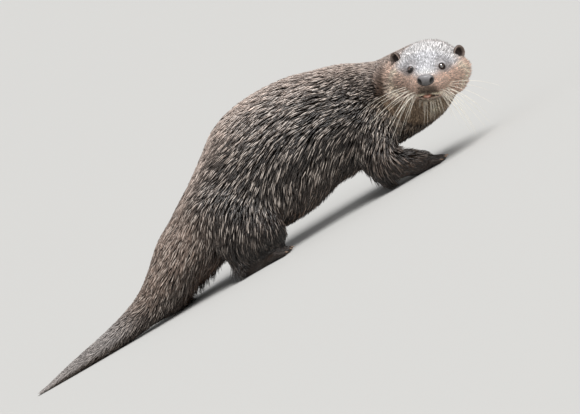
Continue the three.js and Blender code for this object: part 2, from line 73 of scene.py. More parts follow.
HEAD_MASSES = [  # centre forward, left, up, then half sizes; a row with a left value is paired
    (-48, 0, -7.5, 52, 50, 33.5), (-19, 0, -2, 34, 33, 20), (9, 0, -13, 33, 20, 16),
    (17, 13.5, -20, 20, 19.5, 15.5), (-34, 33, -19, 36, 34, 28.5), (5, 0, -38, 26, 25, 16),
    (-32, 0, -34, 38, 42, 23), (-10, 29, -20, 24, 20, 18), (-34, 31, -40, 30, 27, 20),
]
HEAD_BLEND, NECK_BLEND = 11, 22
EYE_AT, EYE_RADIUS = (-1, 23.8, 0), 6.6
EAR_AT, EAR_SIZE, EAR_YAW = (-37, 52.5, 7), (7, 10.2, 12.8), 38
NOSE_AT, NOSE_SIZE = (37.5, 0, -7.5), (6.5, 13.6, 9.4)

EYES_MID = np.array([821.3, -112.0, 147.4])
HEAD_TURN, HEAD_NOD, HEAD_TILT = (math.radians(a) for a in (-105.4, -10.0, -24.0))
FORWARD = np.array([math.cos(HEAD_NOD) * math.cos(HEAD_TURN), math.cos(HEAD_NOD) * math.sin(HEAD_TURN),
                    math.sin(HEAD_NOD)])
LEVEL = np.array([-math.sin(HEAD_TURN), math.cos(HEAD_TURN), 0.0])
LEFT = LEVEL * math.cos(HEAD_TILT) + np.cross(FORWARD, LEVEL) * math.sin(HEAD_TILT)
UP = np.cross(FORWARD, LEFT)
HEAD_AXES = np.stack([FORWARD, LEFT, UP])
HEAD_CENTRE = (-30, 0, -12)


# ------------------------------------------------------------------ small helpers

def to_head(p):
    """Forward, left and up of points in the head's frame: their way from between the eyes, on its axes."""
    return (p - EYES_MID) @ HEAD_AXES.T


def paired(q):
    """Points of the head's frame with both sides laid on the left one: forward, size of left, up."""
    return np.c_[q[:, 0], np.abs(q[:, 1]), q[:, 2]]


def lengths_of(v):
    """The length of each vector: the square root of the sum of its squares."""
    return np.linalg.norm(v, axis=1)


def dots(a, b):
    """The dot product of each pair of vectors."""
    return np.einsum("ij,ij->i", a, b)


def turns(count):
    """Even angles round a full turn, the first at 0."""
    return np.linspace(0, 2 * math.pi, count, endpoint=False)


def from_head(q):
    """The drawing-frame place of points given as forward, left and up."""
    return EYES_MID + np.asarray(q, float) @ HEAD_AXES


def smooth(x, low, high):
    """0 below low, 1 above high, and the cubic 3t^2 - 2t^3 between them."""
    t = np.clip((x - low) / (high - low), 0, 1)
    return t * t * (3 - 2 * t)


def unit(v):
    """Each vector divided by its length."""
    return v / np.maximum(np.linalg.norm(v, axis=-1, keepdims=True), 1e-9)


def mix(a, b, t):
    """Numbers: a where t is 0, b where t is 1, and the straight line between."""
    return a + (b - a) * t


def waves(p, size, seed):
    """Smooth noise of about -1 to 1: the sum of six sine waves of about the given size, in random directions
    fixed by the seed, over 3.2."""
    r = np.random.default_rng(seed)
    ways = unit(r.normal(size=(6, 3))) * (2 * math.pi / (size * r.uniform(0.7, 1.5, (6, 1))))
    return np.sin(p @ ways.T + r.uniform(0, 2 * math.pi, 6)).sum(-1) / 3.2


# ---------------------------------------------------- distance fields (millimetres, arrays of points)

def blended(a, b, blend):
    """Smooth union: the smaller of a and b, less h^2 blend/4, h going from 1 to 0 as they part by blend."""
    share = np.maximum(blend - np.abs(a - b), 0) / blend
    return np.minimum(a, b) - share * share * blend / 4


def ellipsoid(x, y, z, size):
    """Distance to an ellipsoid near its surface: k(k - 1)/|grad k|, with k the length of (x/a, y/b, z/c)."""
    a, b, c = size
    k = np.sqrt((x / a) ** 2 + (y / b) ** 2 + (z / c) ** 2)
    slope = np.sqrt((x / a ** 2) ** 2 + (y / b ** 2) ** 2 + (z / c ** 2) ** 2)
    return np.where(k < 1e-6, -min(size), k * (k - 1) / np.maximum(slope, 1e-9))


def smooth_rings(stations, steps):
    """Uniform Catmull-Rom curve through the stations' centres and half sizes, at steps + 1 places."""
    p = np.asarray(stations, float)
    p = np.vstack([2 * p[0] - p[1], p, 2 * p[-1] - p[-2]])
    t = np.linspace(0, len(stations) - 1, steps + 1)
    i = np.minimum(t.astype(int), len(stations) - 2)
    w = (t - i)[:, None]
    p0, p1, p2, p3 = p[i], p[i + 1], p[i + 2], p[i + 3]
    v0, v1 = (p2 - p0) / 2, (p3 - p1) / 2
    return p1 + v0 * w + (3 * p2 - 3 * p1 - 2 * v0 - v1) * w ** 2 + (2 * p1 - 2 * p2 + v0 + v1) * w ** 3


class Tube:
    """A tube with an elliptical section along a smooth curve of stations.

    Its distance is that to the nearest point of the curve, times 1 - 1/k, where k is how many times the
    section has to grow to reach the point."""

    def __init__(self, stations, steps, across=None):
        rings = smooth_rings(stations, steps)
        self.a, self.way = rings[:-1, :3], np.diff(rings[:, :3], axis=0)
        self.half, self.half_way = rings[:-1, 3:], np.diff(rings[:, 3:], axis=0)
        self.tangent = unit(self.way)
        if across is None:
            side = np.stack([-self.tangent[:, 1], self.tangent[:, 0], 0 * self.tangent[:, 0]], 1)
        else:
            side = across - self.tangent * (self.tangent @ across)[:, None]
        self.side = unit(side)
        self.rise = np.cross(self.tangent, self.side)

    def nearest(self, p):
        """The nearest link of the curve and the share of the way along it, for each point."""
        best = np.full(len(p), np.inf, np.float32)
        link = np.zeros(len(p), np.int32)
        share = np.zeros(len(p), np.float32)
        p = p.astype(np.float32)
        for i, (a, way) in enumerate(zip(self.a.astype(np.float32), self.way.astype(np.float32))):
            off = p - a
            t = np.clip(off @ way / (way @ way), 0, 1)
            off -= t[:, None] * way
            d = dots(off, off)
            near = d < best
            best[near], link[near], share[near] = d[near], i, t[near]
        return link, share

    def distance(self, p, found=None):
        """Distance of each point to the tube, found being what nearest gives for the same points."""
        link, share = found or self.nearest(p)
        off = p - self.a[link] - self.way[link] * share[:, None]
        half = self.half[link] + self.half_way[link] * share[:, None]
        across = dots(off, self.side[link]) / half[:, 0]
        up = dots(off, self.rise[link]) / half[:, 1]
        ahead = 2 * dots(off, self.tangent[link]) / half.sum(1)
        k = np.sqrt(across ** 2 + up ** 2 + ahead ** 2)
        return np.where(k < 1e-4, -half.min(1), lengths_of(off) * (1 - 1 / np.maximum(k, 1e-4)))


SIDEWAYS = np.array([0.0, 1.0, 0.0])
SPINE = Tube(BODY, 92)
LIMB_STEPS = 16
LIMB_TUBES = {name: Tube(stations, LIMB_STEPS, SIDEWAYS) for name, stations in LIMBS.items()}


def head_distance(q):
    """Smooth union of the head's ellipsoids, for points given as forward, left and up; 90 far away from
    it."""
    far = np.full(len(q), 90.0)
    close = lengths_of(q - [-30, 0, -15]) < 165
    if not close.any():
        return far
    f, l, u = q[close].T
    d = np.full(len(f), np.inf)
    for mf, ml, mu, *size in HEAD_MASSES:
        d = blended(d, ellipsoid(f - mf, (np.abs(l) if ml else l) - ml, u - mu, size), HEAD_BLEND)
    far[close] = d
    return far


def rod(x, y, z, a, b):
    """Distance to a rod whose thickness changes evenly from a to b, each a centre and a radius."""
    way = np.subtract(b[:3], a[:3])
    off = np.stack([x - a[0], y - a[1], z - a[2]], -1)
    t = np.clip(off @ way / (way @ way), 0, 1)
    return np.linalg.norm(off - t[..., None] * way, axis=-1) - (a[3] + (b[3] - a[3]) * t)


def toe_joints(form, i):
    """Root, knuckle and tip of toe i in the foot's frame, each a centre and a radius."""
    short = 2.6 * i * i + (5 if i == 2 else 0)
    return ((form["ball"][0], i * form["spread"] * 0.72, 7.5, form["toe"]),
            (form["knuckle"] - short, i * form["spread"] * 0.9, 9.4, form["toe"]),
            (form["tip"] - short, i * form["spread"] * 1.06, 4.4, form["toe"] * 0.86))


def foot_place(foot, p):
    """Points as ahead of the heel and inwards, in a foot's own frame."""
    a = math.radians(foot["heading"])
    dx, dy = p[:, 0] - foot["heel"][0], p[:, 1] - foot["heel"][1]
    return (dx * math.cos(a) + dy * math.sin(a), -foot["side"] * (dy * math.cos(a) - dx * math.sin(a)))


def foot_point(foot, q):
    """The drawing-frame place of points given as ahead, inwards and up in a foot's frame."""
    a = math.radians(foot["heading"])
    across = -foot["side"] * q[..., 1]
    return np.stack([foot["heel"][0] + q[..., 0] * math.cos(a) - across * math.sin(a),
                     foot["heel"][1] + q[..., 0] * math.sin(a) + across * math.cos(a), q[..., 2]], -1)


def foot_distance(foot, p):
    """Smooth union of a sole, a ball, five jointed toes and the web between them; 60 far away from the
    foot."""
    form = foot["form"]
    every_x, every_y = foot_place(foot, p)
    close = (every_x > -60) & (every_x < form["length"] + 60) & (np.abs(every_y) < 85) & (p[:, 2] < 75)
    far = np.full(len(p), 60.0)
    if not close.any():
        return far
    x, y, z = every_x[close], every_y[close], p[close, 2]
    length, width, height = form["sole"]
    d = ellipsoid(x - length, y, z - height + 1, (length + 3, width, height))
    d = blended(d, ellipsoid(x - form["ball"][0], y, z - 7.4, (17, form["ball"][1], form["ball"][2])), 8)
    for i in TOES:
        root, knuckle, tip = toe_joints(form, i)
        d = blended(d, np.minimum(rod(x, y, z, root, knuckle), rod(x, y, z, knuckle, tip)), 3)
    middle, reach = (form["ball"][0] + form["tip"]) / 2 - 2, (form["tip"] - form["ball"][0]) / 2
    far[close] = blended(d, ellipsoid(x - middle, y, z - 3.4, (reach, form["spread"] * 2.1, 3.2)), 4)
    return far


def parts_distance(p):
    """The distance of every point to the spine, to each limb, to the head and to each foot."""
    limbs = [tube.distance(p) for tube in LIMB_TUBES.values()]
    feet = [foot_distance(foot, p) for foot in FEET.values()]
    return SPINE.distance(p), np.stack(limbs), head_distance(to_head(p)), np.stack(feet)


def coat_distance(p, parts=None):
    """Distance to the tips of the coat: spine, limbs and head joined as the solids are, with the feet."""
    spine, limbs, head, feet = parts or parts_distance(p)
    soft = np.interp(p[:, 2], [30, 95], [10, 28])
    d = spine
    for limb in limbs:
        d = blended(d, limb, soft)
    d = blended(d, head, NECK_BLEND)
    for foot in feet:
        d = blended(d, foot, 5)
    return d


def coat_depth(p, parts):
    """How thick the coat is: deep on the trunk, thinning down the tail and legs and over the face; the
    smaller of a table along the tail and one down the leg, mixed by smooth steps with the foot's and the
    face's."""
    spine, limbs, _, feet = parts
    along_tail = np.interp(p[:, 0], [0, 60, 200, 320, 420], [0.9, 2.4, 5, 8, 10.5])
    down_leg = np.interp(p[:, 2], [0, 12, 28, 60, 110], [0.5, 1.0, 3.5, 8, 10.5])
    on_tail = smooth(limbs.min(0) - spine, -4, 6) * (p[:, 0] < 360)
    body = mix(np.minimum(along_tail, down_leg), along_tail, on_tail)
    body = mix(body, 0.5, smooth(-feet.min(0), -5, 2))
    q = to_head(p)
    face = np.interp(q[:, 0], [-95, -70, -40, -15, 8, 26], [10.0, 7.5, 4.6, 2.6, 1.5, 0.9])
    near_head = smooth(-lengths_of(q - HEAD_CENTRE), -112, -84)
    return mix(body, face, near_head)


MOUTH_UP, MOUTH_CURL, MOUTH_HALF, MOUTH_GAPE = -38.0, -0.007, 13.5, 3.8
EYE_OUT = unit(np.array([0.88, 0.36, 0.28]))


def eye_lengths(q):
    """Distance from the nearer eye's centre, and how far ahead of it, across the gaze and above it."""
    off = paired(q) - EYE_AT
    ahead = off @ EYE_OUT
    flat = off - ahead[:, None] * EYE_OUT
    return lengths_of(off), ahead, flat @ unit(np.cross([0, 0, 1], EYE_OUT)), flat[:, 2]


def mouth_height(q):
    """How far each point is above the line between the lips, which sinks a little to the corners."""
    return q[:, 2] - MOUTH_UP - MOUTH_CURL * q[:, 1] ** 2


def face_features(q, d):
    """Adds the finer shapes of the face to a distance: a blended ball for each eye's bulge with an
    opening cut in it and a ring of lid round that, a lens-shaped mouth cut between lips raised by a bell,
    and a bell-shaped groove under the nose."""
    f, l = q[:, 0], np.abs(q[:, 1])
    eye, ahead, across, rise = eye_lengths(q)
    opening = np.sqrt((across / 5.3) ** 2 + ((rise + 0.1) / 5.2) ** 2)
    lid = np.sqrt((np.maximum(opening - 1, -1) * 5.1) ** 2 + (eye - EYE_RADIUS - 0.35) ** 2) - 0.75
    d = blended(d, np.where(ahead > 0, eye - EYE_RADIUS - 1.1, 50), 4.5)
    d = np.maximum(d, np.where((opening < 1.0) & (ahead > 0), EYE_RADIUS - 0.35 - eye, -50))
    d = blended(d, np.where(ahead > 1, lid, 50), 0.8)
    over = mouth_height(q)
    gape = MOUTH_GAPE * np.clip(1 - (l / MOUTH_HALF) ** 2, 0, 1)
    slot = np.maximum(np.maximum(np.abs(over) - gape - 0.25, l - MOUTH_HALF - 1), 11 - f)
    lips = np.exp(-(over / 4.4) ** 2) * smooth(-l, -23, -13) * smooth(f, 8, 18)
    d = np.maximum(d - 1.1 * lips, -slot)
    groove = np.exp(-(l / 1.5) ** 2) * smooth(q[:, 2], -35, -30)
    groove = groove * smooth(-q[:, 2], 10, 16) * smooth(f, 24, 32)
    return d + 1.1 * groove


def skin_distance(p):
    """Distance to the skin: that to the coat's tips plus the coat's depth, with the face's finer shapes, and
    cut flat at the floor."""
    parts = parts_distance(p)
    d = coat_distance(p, parts) + coat_depth(p, parts)
    q = to_head(p)
    near = lengths_of(q - [0, 0, -12]) < 70
    d[near] = face_features(q[near], d[near])
    return np.maximum(d, -p[:, 2])


def in_chunks(field, p, size=40000):
    """The field of many points, worked out a block at a time."""
    return np.concatenate([field(p[i:i + size]) for i in range(0, len(p), size)]) if len(p) else np.zeros(0)


# ------------------------------------------------------------------ surfaces

def field_surface(field, low, high, cell):
    """The surface where a field is zero, as a mesh of quads cut in two.

    Each cell of a grid that the surface crosses holds one vertex, the mean of the crossings on its twelve
    edges, and each crossed edge of the grid gives a quad between its four cells. Only points near the
    surface, as a coarse grid tells, are worked out."""
    low, coarse = np.asarray(low, float), 4
    n = (np.ceil((np.asarray(high) - low) / (cell * coarse)).astype(int)) * coarse
    rough_at = [np.arange(m // coarse) * coarse + coarse / 2 for m in n]
    rough_points = np.stack(np.meshgrid(*rough_at, indexing="ij"), -1).reshape(-1, 3) * cell + low
    rough = in_chunks(field, rough_points).reshape([m // coarse for m in n])
    values = rough.repeat(coarse, 0).repeat(coarse, 1).repeat(coarse, 2).astype(np.float32)
    near = np.argwhere(np.abs(values) < cell * coarse * 1.25)
    values[tuple(near.T)] = in_chunks(field, near * cell + low)
    values[values == 0] = 1e-5
    total = np.zeros((*(n - 1), 3), np.float32)
    count = np.zeros(tuple(n - 1), np.int8)
    inside = values < 0
    quads = []
    spot = np.full(tuple(n - 1), -1, np.int64)
    crossings = []
    for axis in range(3):
        first = [slice(None)] * 3
        second = [slice(None)] * 3
        first[axis], second[axis] = slice(None, -1), slice(1, None)
        a, b = values[tuple(first)], values[tuple(second)]
        hit = np.argwhere(inside[tuple(first)] != inside[tuple(second)])
        va, vb = a[tuple(hit.T)], b[tuple(hit.T)]
        place = hit.astype(np.float32)
        place[:, axis] += va / (va - vb)
        crossings.append((axis, hit, va < 0))
        for j in (0, 1):
            for k in (0, 1):
                cellid = hit.copy()
                cellid[:, (axis + 1) % 3] -= j
                cellid[:, (axis + 2) % 3] -= k
                ok = ((cellid >= 0) & (cellid < n - 1)).all(1)
                np.add.at(total, tuple(cellid[ok].T), place[ok])
                np.add.at(count, tuple(cellid[ok].T), 1)
    held = np.argwhere(count > 0)
    spot[tuple(held.T)] = np.arange(len(held))
    points = total[tuple(held.T)] / count[tuple(held.T)][:, None] * cell + low
    for axis, hit, outward in crossings:
        ring = []
        for j, k in ((0, 0), (1, 0), (1, 1), (0, 1)):
            cellid = hit.copy()
            cellid[:, (axis + 1) % 3] -= j
            cellid[:, (axis + 2) % 3] -= k
            ring.append(spot[tuple(cellid.T)])
        ring = np.stack(ring, 1)
        ring[~outward] = ring[~outward][:, ::-1]
        quads.append(ring)
    quads = np.vstack(quads)
    return points, np.vstack([quads[:, [0, 1, 2]], quads[:, [0, 2, 3]]])


def slope_of(field, p, reach=0.12):
    """Value and slope of a field at each point, by small steps along X, Y and Z."""
    n = len(p)
    steps = np.vstack([p, p + [reach, 0, 0], p + [0, reach, 0], p + [0, 0, reach]])
    d = in_chunks(field, steps).reshape(4, n)
    return d[0], ((d[1:] - d[0]) / reach).T


def settle(field, p, passes=2, most=1.5):
    """Points moved onto the surface of a field by Newton steps along its slope."""
    for _ in range(passes):
        d, slope = slope_of(field, p)
        squared = np.maximum((slope ** 2).sum(1), 0.3)
        p = p - slope * (np.clip(d, -most, most) / squared)[:, None]
    return p


def split_edges(points, faces, chosen):
    """Splits in two every edge whose ends are both chosen; a face becomes four, two or stays whole."""
    edges = np.sort(faces[:, [0, 1, 1, 2, 2, 0]].reshape(-1, 2), axis=1)
    cut = chosen[edges].all(1)
    pairs, where = np.unique(edges[cut], axis=0, return_inverse=True)
    middle = np.full(len(edges), -1)
    middle[cut] = where.ravel() + len(points)
    middle = middle.reshape(-1, 3)
    cuts = (middle >= 0).sum(1)
    out = [faces[cuts == 0]]
    a, b, c = faces[cuts == 3].T
    ab, bc, ca = middle[cuts == 3].T
    out += [np.stack(t, 1) for t in ((a, ab, ca), (ab, b, bc), (ca, bc, c), (ab, bc, ca))]
    for k in range(3):
        one = (cuts == 1) & (middle[:, k] >= 0)
        a, b, c = faces[one][:, [k, (k + 1) % 3, (k + 2) % 3]].T
        m = middle[one, k]
        out += [np.stack((a, m, c), 1), np.stack((m, b, c), 1)]
    return np.vstack([points, points[pairs].mean(1)]), np.vstack(out)


def normals_of(points, faces):
    """Vertex normals: the sum of the cross products of the faces around each vertex, made one long."""
    cross = np.cross(points[faces[:, 1]] - points[faces[:, 0]], points[faces[:, 2]] - points[faces[:, 0]])
    total = np.zeros_like(points)
    for k in range(3):
        np.add.at(total, faces[:, k], cross)
    return unit(total)


def grid_faces(rows, columns):
    """Quads between neighbouring rows of points numbered row by row, where each row closes on itself: from
    (i, j) to (i, j + 1), (i + 1, j + 1) and (i + 1, j)."""
    i, j = np.meshgrid(np.arange(rows - 1), np.arange(columns), indexing="ij")
    near, far = i * columns, (i + 1) * columns
    nxt = (j + 1) % columns
    return np.stack([near + j, near + nxt, far + nxt, far + j], -1).reshape(-1, 4)


def make_mesh(name, points, faces, material, colours=None, uv=None):
    """A smooth mesh object at the origin from millimetre points of the drawing frame: each point less that
    frame's origin, over 1000. Its colours become an attribute and its uv the OFBake map."""
    points = (np.asarray(points, float) - ORIGIN) / 1000
    faces = np.asarray(faces)
    corners = faces.shape[1]
    mesh = bpy.data.meshes.new(name)
    mesh.vertices.add(len(points))
    mesh.vertices.foreach_set("co", points.astype(np.float32).ravel())
    mesh.loops.add(faces.size)
    mesh.loops.foreach_set("vertex_index", faces.astype(np.int32).ravel())
    mesh.polygons.add(len(faces))
    mesh.polygons.foreach_set("loop_start", np.arange(0, faces.size, corners, dtype=np.int32))
    mesh.polygons.foreach_set("use_smooth", np.ones(len(faces), bool))
    if colours is not None:
        layer = mesh.color_attributes.new("coat", "FLOAT_COLOR", "POINT")
        layer.data.foreach_set("color", np.c_[colours, np.ones(len(points))].astype(np.float32).ravel())
    if uv is not None:
        layer = mesh.uv_layers.new(name="OFBake")
        layer.data.foreach_set("uv", uv[faces.ravel()].astype(np.float32).ravel())
    mesh.update(calc_edges=True)
    mesh.validate()
    mesh.materials.append(material)
    made = bpy.data.objects.new(name, mesh)
    bpy.context.scene.collection.objects.link(made)
    return made


# ---------------------------------------------------- where a point of the coat is, and how the coat lies

LEG_LIE = {  # degrees below straight back that the coat points, at even places down each leg
    "hind_right": (40, 50, 62, 78, 105), "hind_left": (33, 36, 42, 50, 70),
    "front_right": (26, 60, 115, 150), "front_left": (26, 60, 95, 135),
}
LEG_NAMES = list(LIMBS)


class Place:
    """Where points of the coat are: shares of the head, tail, legs and feet, each a smooth step of a
    distance, and the turn round the body from its top in degrees."""

    def __init__(self, p):
        self.p = p
        self.link, self.share = SPINE.nearest(p)
        limb_found = [tube.nearest(p) for tube in LIMB_TUBES.values()]
        spine = SPINE.distance(p, (self.link, self.share))
        limbs = np.stack([tube.distance(p, f) for tube, f in zip(LIMB_TUBES.values(), limb_found)])
        feet = np.stack([foot_distance(foot, p) for foot in FEET.values()])
        self.q = to_head(p)
        self.parts = (spine, limbs, head_distance(self.q), feet)
        self.leg = limbs.argmin(0)
        self.along_leg = np.choose(self.leg, [f[0] + f[1] for f in limb_found]) / LIMB_STEPS
        self.foot = feet.argmin(0)
        self.on_leg = smooth(spine - limbs.min(0), -3, 16)
        self.on_foot = smooth(-feet.min(0), -7, -1.5)
        self.from_head = lengths_of(self.q - HEAD_CENTRE)
        self.on_head = smooth(self.q[:, 0], -80, -38) * smooth(-self.from_head, -104, -78)
        self.on_tail = smooth(-p[:, 0], -350, -290) * (1 - self.on_leg)
        off = p - SPINE.a[self.link]
        across = np.abs(dots(off, SPINE.side[self.link])) / SPINE.half[self.link, 0]
        up = dots(off, SPINE.rise[self.link]) / SPINE.half[self.link, 1]
        self.turn = np.degrees(np.arctan2(across, up))
        self.depth = coat_depth(p, self.parts)


def along_surface(way, normal):
    """A direction laid into the surface: less its part along the normal, made one long."""
    return unit(way - normal * (way * normal).sum(1, keepdims=True))


def mix_ways(a, b, t):
    """Directions: a where t is 0, b where t is 1, and the unit vector of a + (b - a) t between."""
    return unit(a + (b - a) * t[:, None])


def lie_of_coat(p, normal, place):
    """Which way the coat points: back along the body and down its sides, down each leg, to the toes, and
    away from the nose over the head. The ways are mixed by the parts' shares and laid into the surface."""
    below = np.radians(np.interp(place.turn, [0, 60, 90, 120, 150, 180], [0, 6, 20, 40, 46, 0])
                       * np.interp(p[:, 0], [60, 300], [0.35, 1]))[:, None]
    back = along_surface(-SPINE.tangent[place.link], normal)
    down = along_surface(np.array([[0.0, 0.0, -1.0]]), normal)
    way = back * np.cos(below) + down * np.sin(below)
    angle = np.zeros(len(p))
    for i, name in enumerate(LEG_NAMES):
        chosen = place.leg == i
        stops = np.linspace(0, 1, len(LEG_LIE[name]))
        angle[chosen] = np.interp(place.along_leg[chosen], stops, LEG_LIE[name])
    angle = np.radians(angle)
    leg_way = np.stack([-np.cos(angle), 0 * angle, -np.sin(angle)], 1)
    way = mix_ways(way, leg_way, place.on_leg)
    headings = np.radians([foot["heading"] for foot in FEET.values()])[place.foot]
    foot_way = np.stack([np.cos(headings), np.sin(headings), -0.25 + 0 * headings], 1)
    way = mix_ways(way, foot_way, place.on_foot)
    from_nose = place.q - [44, 0, -12]
    from_nose[:, 2] -= 22 * smooth(-place.q[:, 2], 22, 52)
    from_eye = place.q - EYE_AT
    from_eye[:, 1] = place.q[:, 1] - np.sign(place.q[:, 1]) * EYE_AT[1]
    away = np.exp(-((lengths_of(from_eye) - EYE_RADIUS) / 5) ** 2)
    head_way = unit(from_nose) + 1.6 * away[:, None] * unit(from_eye)
    return along_surface(mix_ways(way, head_way @ HEAD_AXES, place.on_head), normal)


# ------------------------------------------------------------------ colours of the coat

def display(*rgb):
    """The linear colour of display values from 0 to 255, by the sRGB curve."""
    c = np.array(rgb) / 255
    return np.where(c < 0.04045, c / 12.92, ((c + 0.055) / 1.055) ** 2.4)


def tint(a, b, t):
    """Colours a turned into b by the share t of each point."""
    return a + (b - a) * np.clip(t, 0, 1)[:, None]


def spot(q, at, size):
    """1 at a place of the head, falling as exp(-1.4 r^2), with r the way from it in half sizes; both sides
    alike."""
    f, l, u = ((q[:, 0] - at[0]) / size[0], (np.abs(q[:, 1]) - at[1]) / size[1], (q[:, 2] - at[2]) / size[2])
    return np.exp(-(f * f + l * l + u * u) * 1.4)


def painted(colour, layers):
    """The colour with layers laid on in turn, each its display values and its share at each point."""
    for values, share in layers:
        colour = tint(colour, display(*values), share)
    return colour


WHISKER_SPOTS = np.array([(26 - 5.5 * column, 17 + 3.6 * column, -23 - 3.4 * row + 0.5 * column)
                          for row in range(4) for column in range(4)])


def toe_crease_shade(p):
    """How much painted shade lies in the creases between the toes of any foot: 1 in the creases, 0 on the
    toes and behind them: a bell of the toe's share across the foot."""
    gaps = np.zeros(len(p))
    for foot in FEET.values():
        form = foot["form"]
        x, y = foot_place(foot, p)
        share = np.abs(y / np.interp(x, [form["ball"][0], form["tip"]], [0.72, 1.06]) / form["spread"])
        crease = np.exp(-((share % 1 - 0.5) / 0.2) ** 2) * (share < 2.2)
        there = smooth(x, form["ball"][0] - 6, form["ball"][0] + 6)
        there = there * (x < form["length"] + 5) * (p[:, 2] < 30)
        gaps = np.maximum(gaps, crease * there)
    return gaps


def body_colour(place):
    """The body's colour: grey-brown above, that pale partly as painted sky light and wet sheen, dark on the
    flank, brown below and down the legs with painted shade low on them, darker under the tail partly as
    painted shade, a grey tail's end, and painted shade in the creases between the toes."""
    p, turn = place.p, place.turn
    shoulder = place.on_leg * (p[:, 0] > 550)
    colour = painted(np.tile(display(50, 35, 25), (len(p), 1)), (
        # Pale top of the body: partly its own grey-brown, partly painted sky light and wet sheen from above.
        ((198, 178, 166), smooth(-turn, -80, -18)),
        ((78, 53, 35), smooth(turn, 98, 140)),
        ((156, 135, 122), smooth(-p[:, 0], -460, -330) * smooth(-turn, -125, -55)),
        ((188, 180, 176), smooth(-p[:, 0], -250, -150) * smooth(-turn, -124, -86)),
        # Darker under the tail: partly painted shade on its underside.
        ((60, 45, 35), place.on_tail * smooth(turn, 96, 136) * 0.8),
        ((80, 63, 52), shoulder),
        # Darker low on the legs: their own dark brown, deepened as painted shade near the floor.
        ((32, 20, 12), (place.on_leg - shoulder) * smooth(-p[:, 2], -110, -40)),
        ((42, 31, 24), place.on_foot)))
    # Painted shade in the creases between the toes.
    colour = colour * (1 - 0.75 * place.on_foot * toe_crease_shade(p))[:, None]
    neck = smooth(p[:, 0], 712, 765) * (1 - place.on_leg)
    return tint(colour, display(92, 68, 50), neck * smooth(turn, 30, 70) * 0.9)


def head_layers(place, head):
    """The head's large markings: a pale crown, partly painted sky reflection on its wet fur, reddish cheeks
    with a buff edge, and a buff throat and chin."""
    q, left = place.q, np.abs(place.q[:, 1])
    edge = np.exp(-((q[:, 0] + 12 + 0.5 * (left - 52)) / 4.5) ** 2) * smooth(left, 43, 50)
    edge = edge * smooth(-q[:, 2], -5, 3) * smooth(q[:, 2], -58, -40)
    throat = smooth(-q[:, 2], 44, 56) * smooth(q[:, 0], -75, -45) * smooth(-place.from_head, -125, -85)
    return (((228, 198, 180), head * smooth(q[:, 0], -75, -40)),
            # Pale crown and forehead: partly their own pale grey, partly painted sky reflection on the wet
            # fur.
            ((240, 237, 236), head * smooth(q[:, 2], -8, 8)),
            ((220, 219, 222), head * smooth(q[:, 0], -24, -8) * smooth(q[:, 2], -9, 3)),
            ((122, 104, 96), head * smooth(-q[:, 0], 52, 80) * 0.9),
            ((232, 200, 180), head * spot(q, (6, 24, -22), (20, 13, 11))),
            ((246, 214, 194), head * spot(q, (-26, 60, -22), (16, 16, 26))),
            ((250, 234, 214), head * edge),
            ((160, 138, 116), throat),
            ((214, 206, 190), spot(q, (4, 6, -54), (22, 10, 9)) * (q[:, 0] > -24)),
            ((206, 196, 172), spot(q, (-24, 0, -76), (17, 11, 14)) * 0.85))


def mouth_layers(q, head):
    """Round the mouth: a streaked dark band under the nose, a cream upper lip, a paler and spotted lower
    lip, and dark edges; bells of the height over the mouth, within smooth steps."""
    left, over = np.abs(q[:, 1]), mouth_height(q)
    lip = head * smooth(q[:, 0], 6, 18) * smooth(-left, -26, -19)
    streaks = mix(1.0, 0.55, np.sin(left * 1.9 + over * 0.5) ** 2)
    band = lip * smooth(-left, -20, -9) * smooth(over, 3.0, 6) * smooth(-q[:, 2], 15, 20) * 0.9 * streaks
    spots = np.sin(left * 2.3) ** 2 * np.exp(-((over + 5.5) / 1.6) ** 2)
    return (((104, 86, 74), lip * np.exp(-((over - 10) / 4.5) ** 2) * smooth(-left, -20, -12) * 0.8),
            ((84, 72, 56), band),
            ((250, 238, 210), lip * np.exp(-((over - 4.6) / 2.3) ** 2) * smooth(left, 4, 8)),
            ((170, 156, 136), lip * np.exp(-((over + 7.5) / 4) ** 2)),
            ((40, 34, 30), lip * spots * 0.9),
            ((34, 28, 26), lip * np.exp(-(over / 2.2) ** 2) * smooth(-left, -19, -14)))


def nose_layers(q, head):
    """Round the nose: dark roots of the whiskers, white above the pad, partly pale fur and partly a painted
    wet highlight along its top edge, and dark skin at its edge.
    """
    on_pad = paired(q) * (0.4, 1, 1)
    gap = np.min([lengths_of(on_pad - [0.4, 1, 1] * root) for root in WHISKER_SPOTS], axis=0)
    # Partly pale fur, partly a painted highlight of wet fur along the top edge of the pad.
    pale_fur_and_highlight = np.exp(-((q[:, 2] - 4.0) / 5.0) ** 2) * smooth(q[:, 0], 14, 26)
    pale_fur_and_highlight = pale_fur_and_highlight * smooth(-np.abs(q[:, 1]), -16, -10)
    nose = np.sqrt((((q - NOSE_AT) / (np.array(NOSE_SIZE) + 1.2)) ** 2).sum(1))
    return (((58, 46, 40), head * np.exp(-(gap / 1.25) ** 2) * 0.85),
            ((255, 254, 252), head * pale_fur_and_highlight),
            ((52, 46, 42), smooth(-nose, -1.05, -0.95)))


def eye_layers(q, head):
    """Round the eyes: grey fur, darker below, and black lids."""
    eye, ahead, across, rise = eye_lengths(q)
    rim = np.sqrt((across / 5.9) ** 2 + ((rise + 0.1) / 5.7) ** 2)
    below = mix(0.35, 0.8, smooth(-rise, -5, 1))
    return (((152, 142, 139), head * smooth(-rim, -3.2, -1.6) * smooth(-eye, -20, -13) * below),
            ((30, 25, 23), head * (ahead > 0) * smooth(-rim, -1.12, -0.98)))


def coat_colour(place):
    """The coat's colour, with painted light and shade in it: the body's, with the head's markings over it.
    """
    q = place.q
    head = place.on_head * smooth(-np.abs(q[:, 1]), -74, -58)
    return painted(body_colour(place), (
        *head_layers(place, head), *mouth_layers(q, head), *nose_layers(q, head), *eye_layers(q, head)))


# ------------------------------------------------------------------ materials

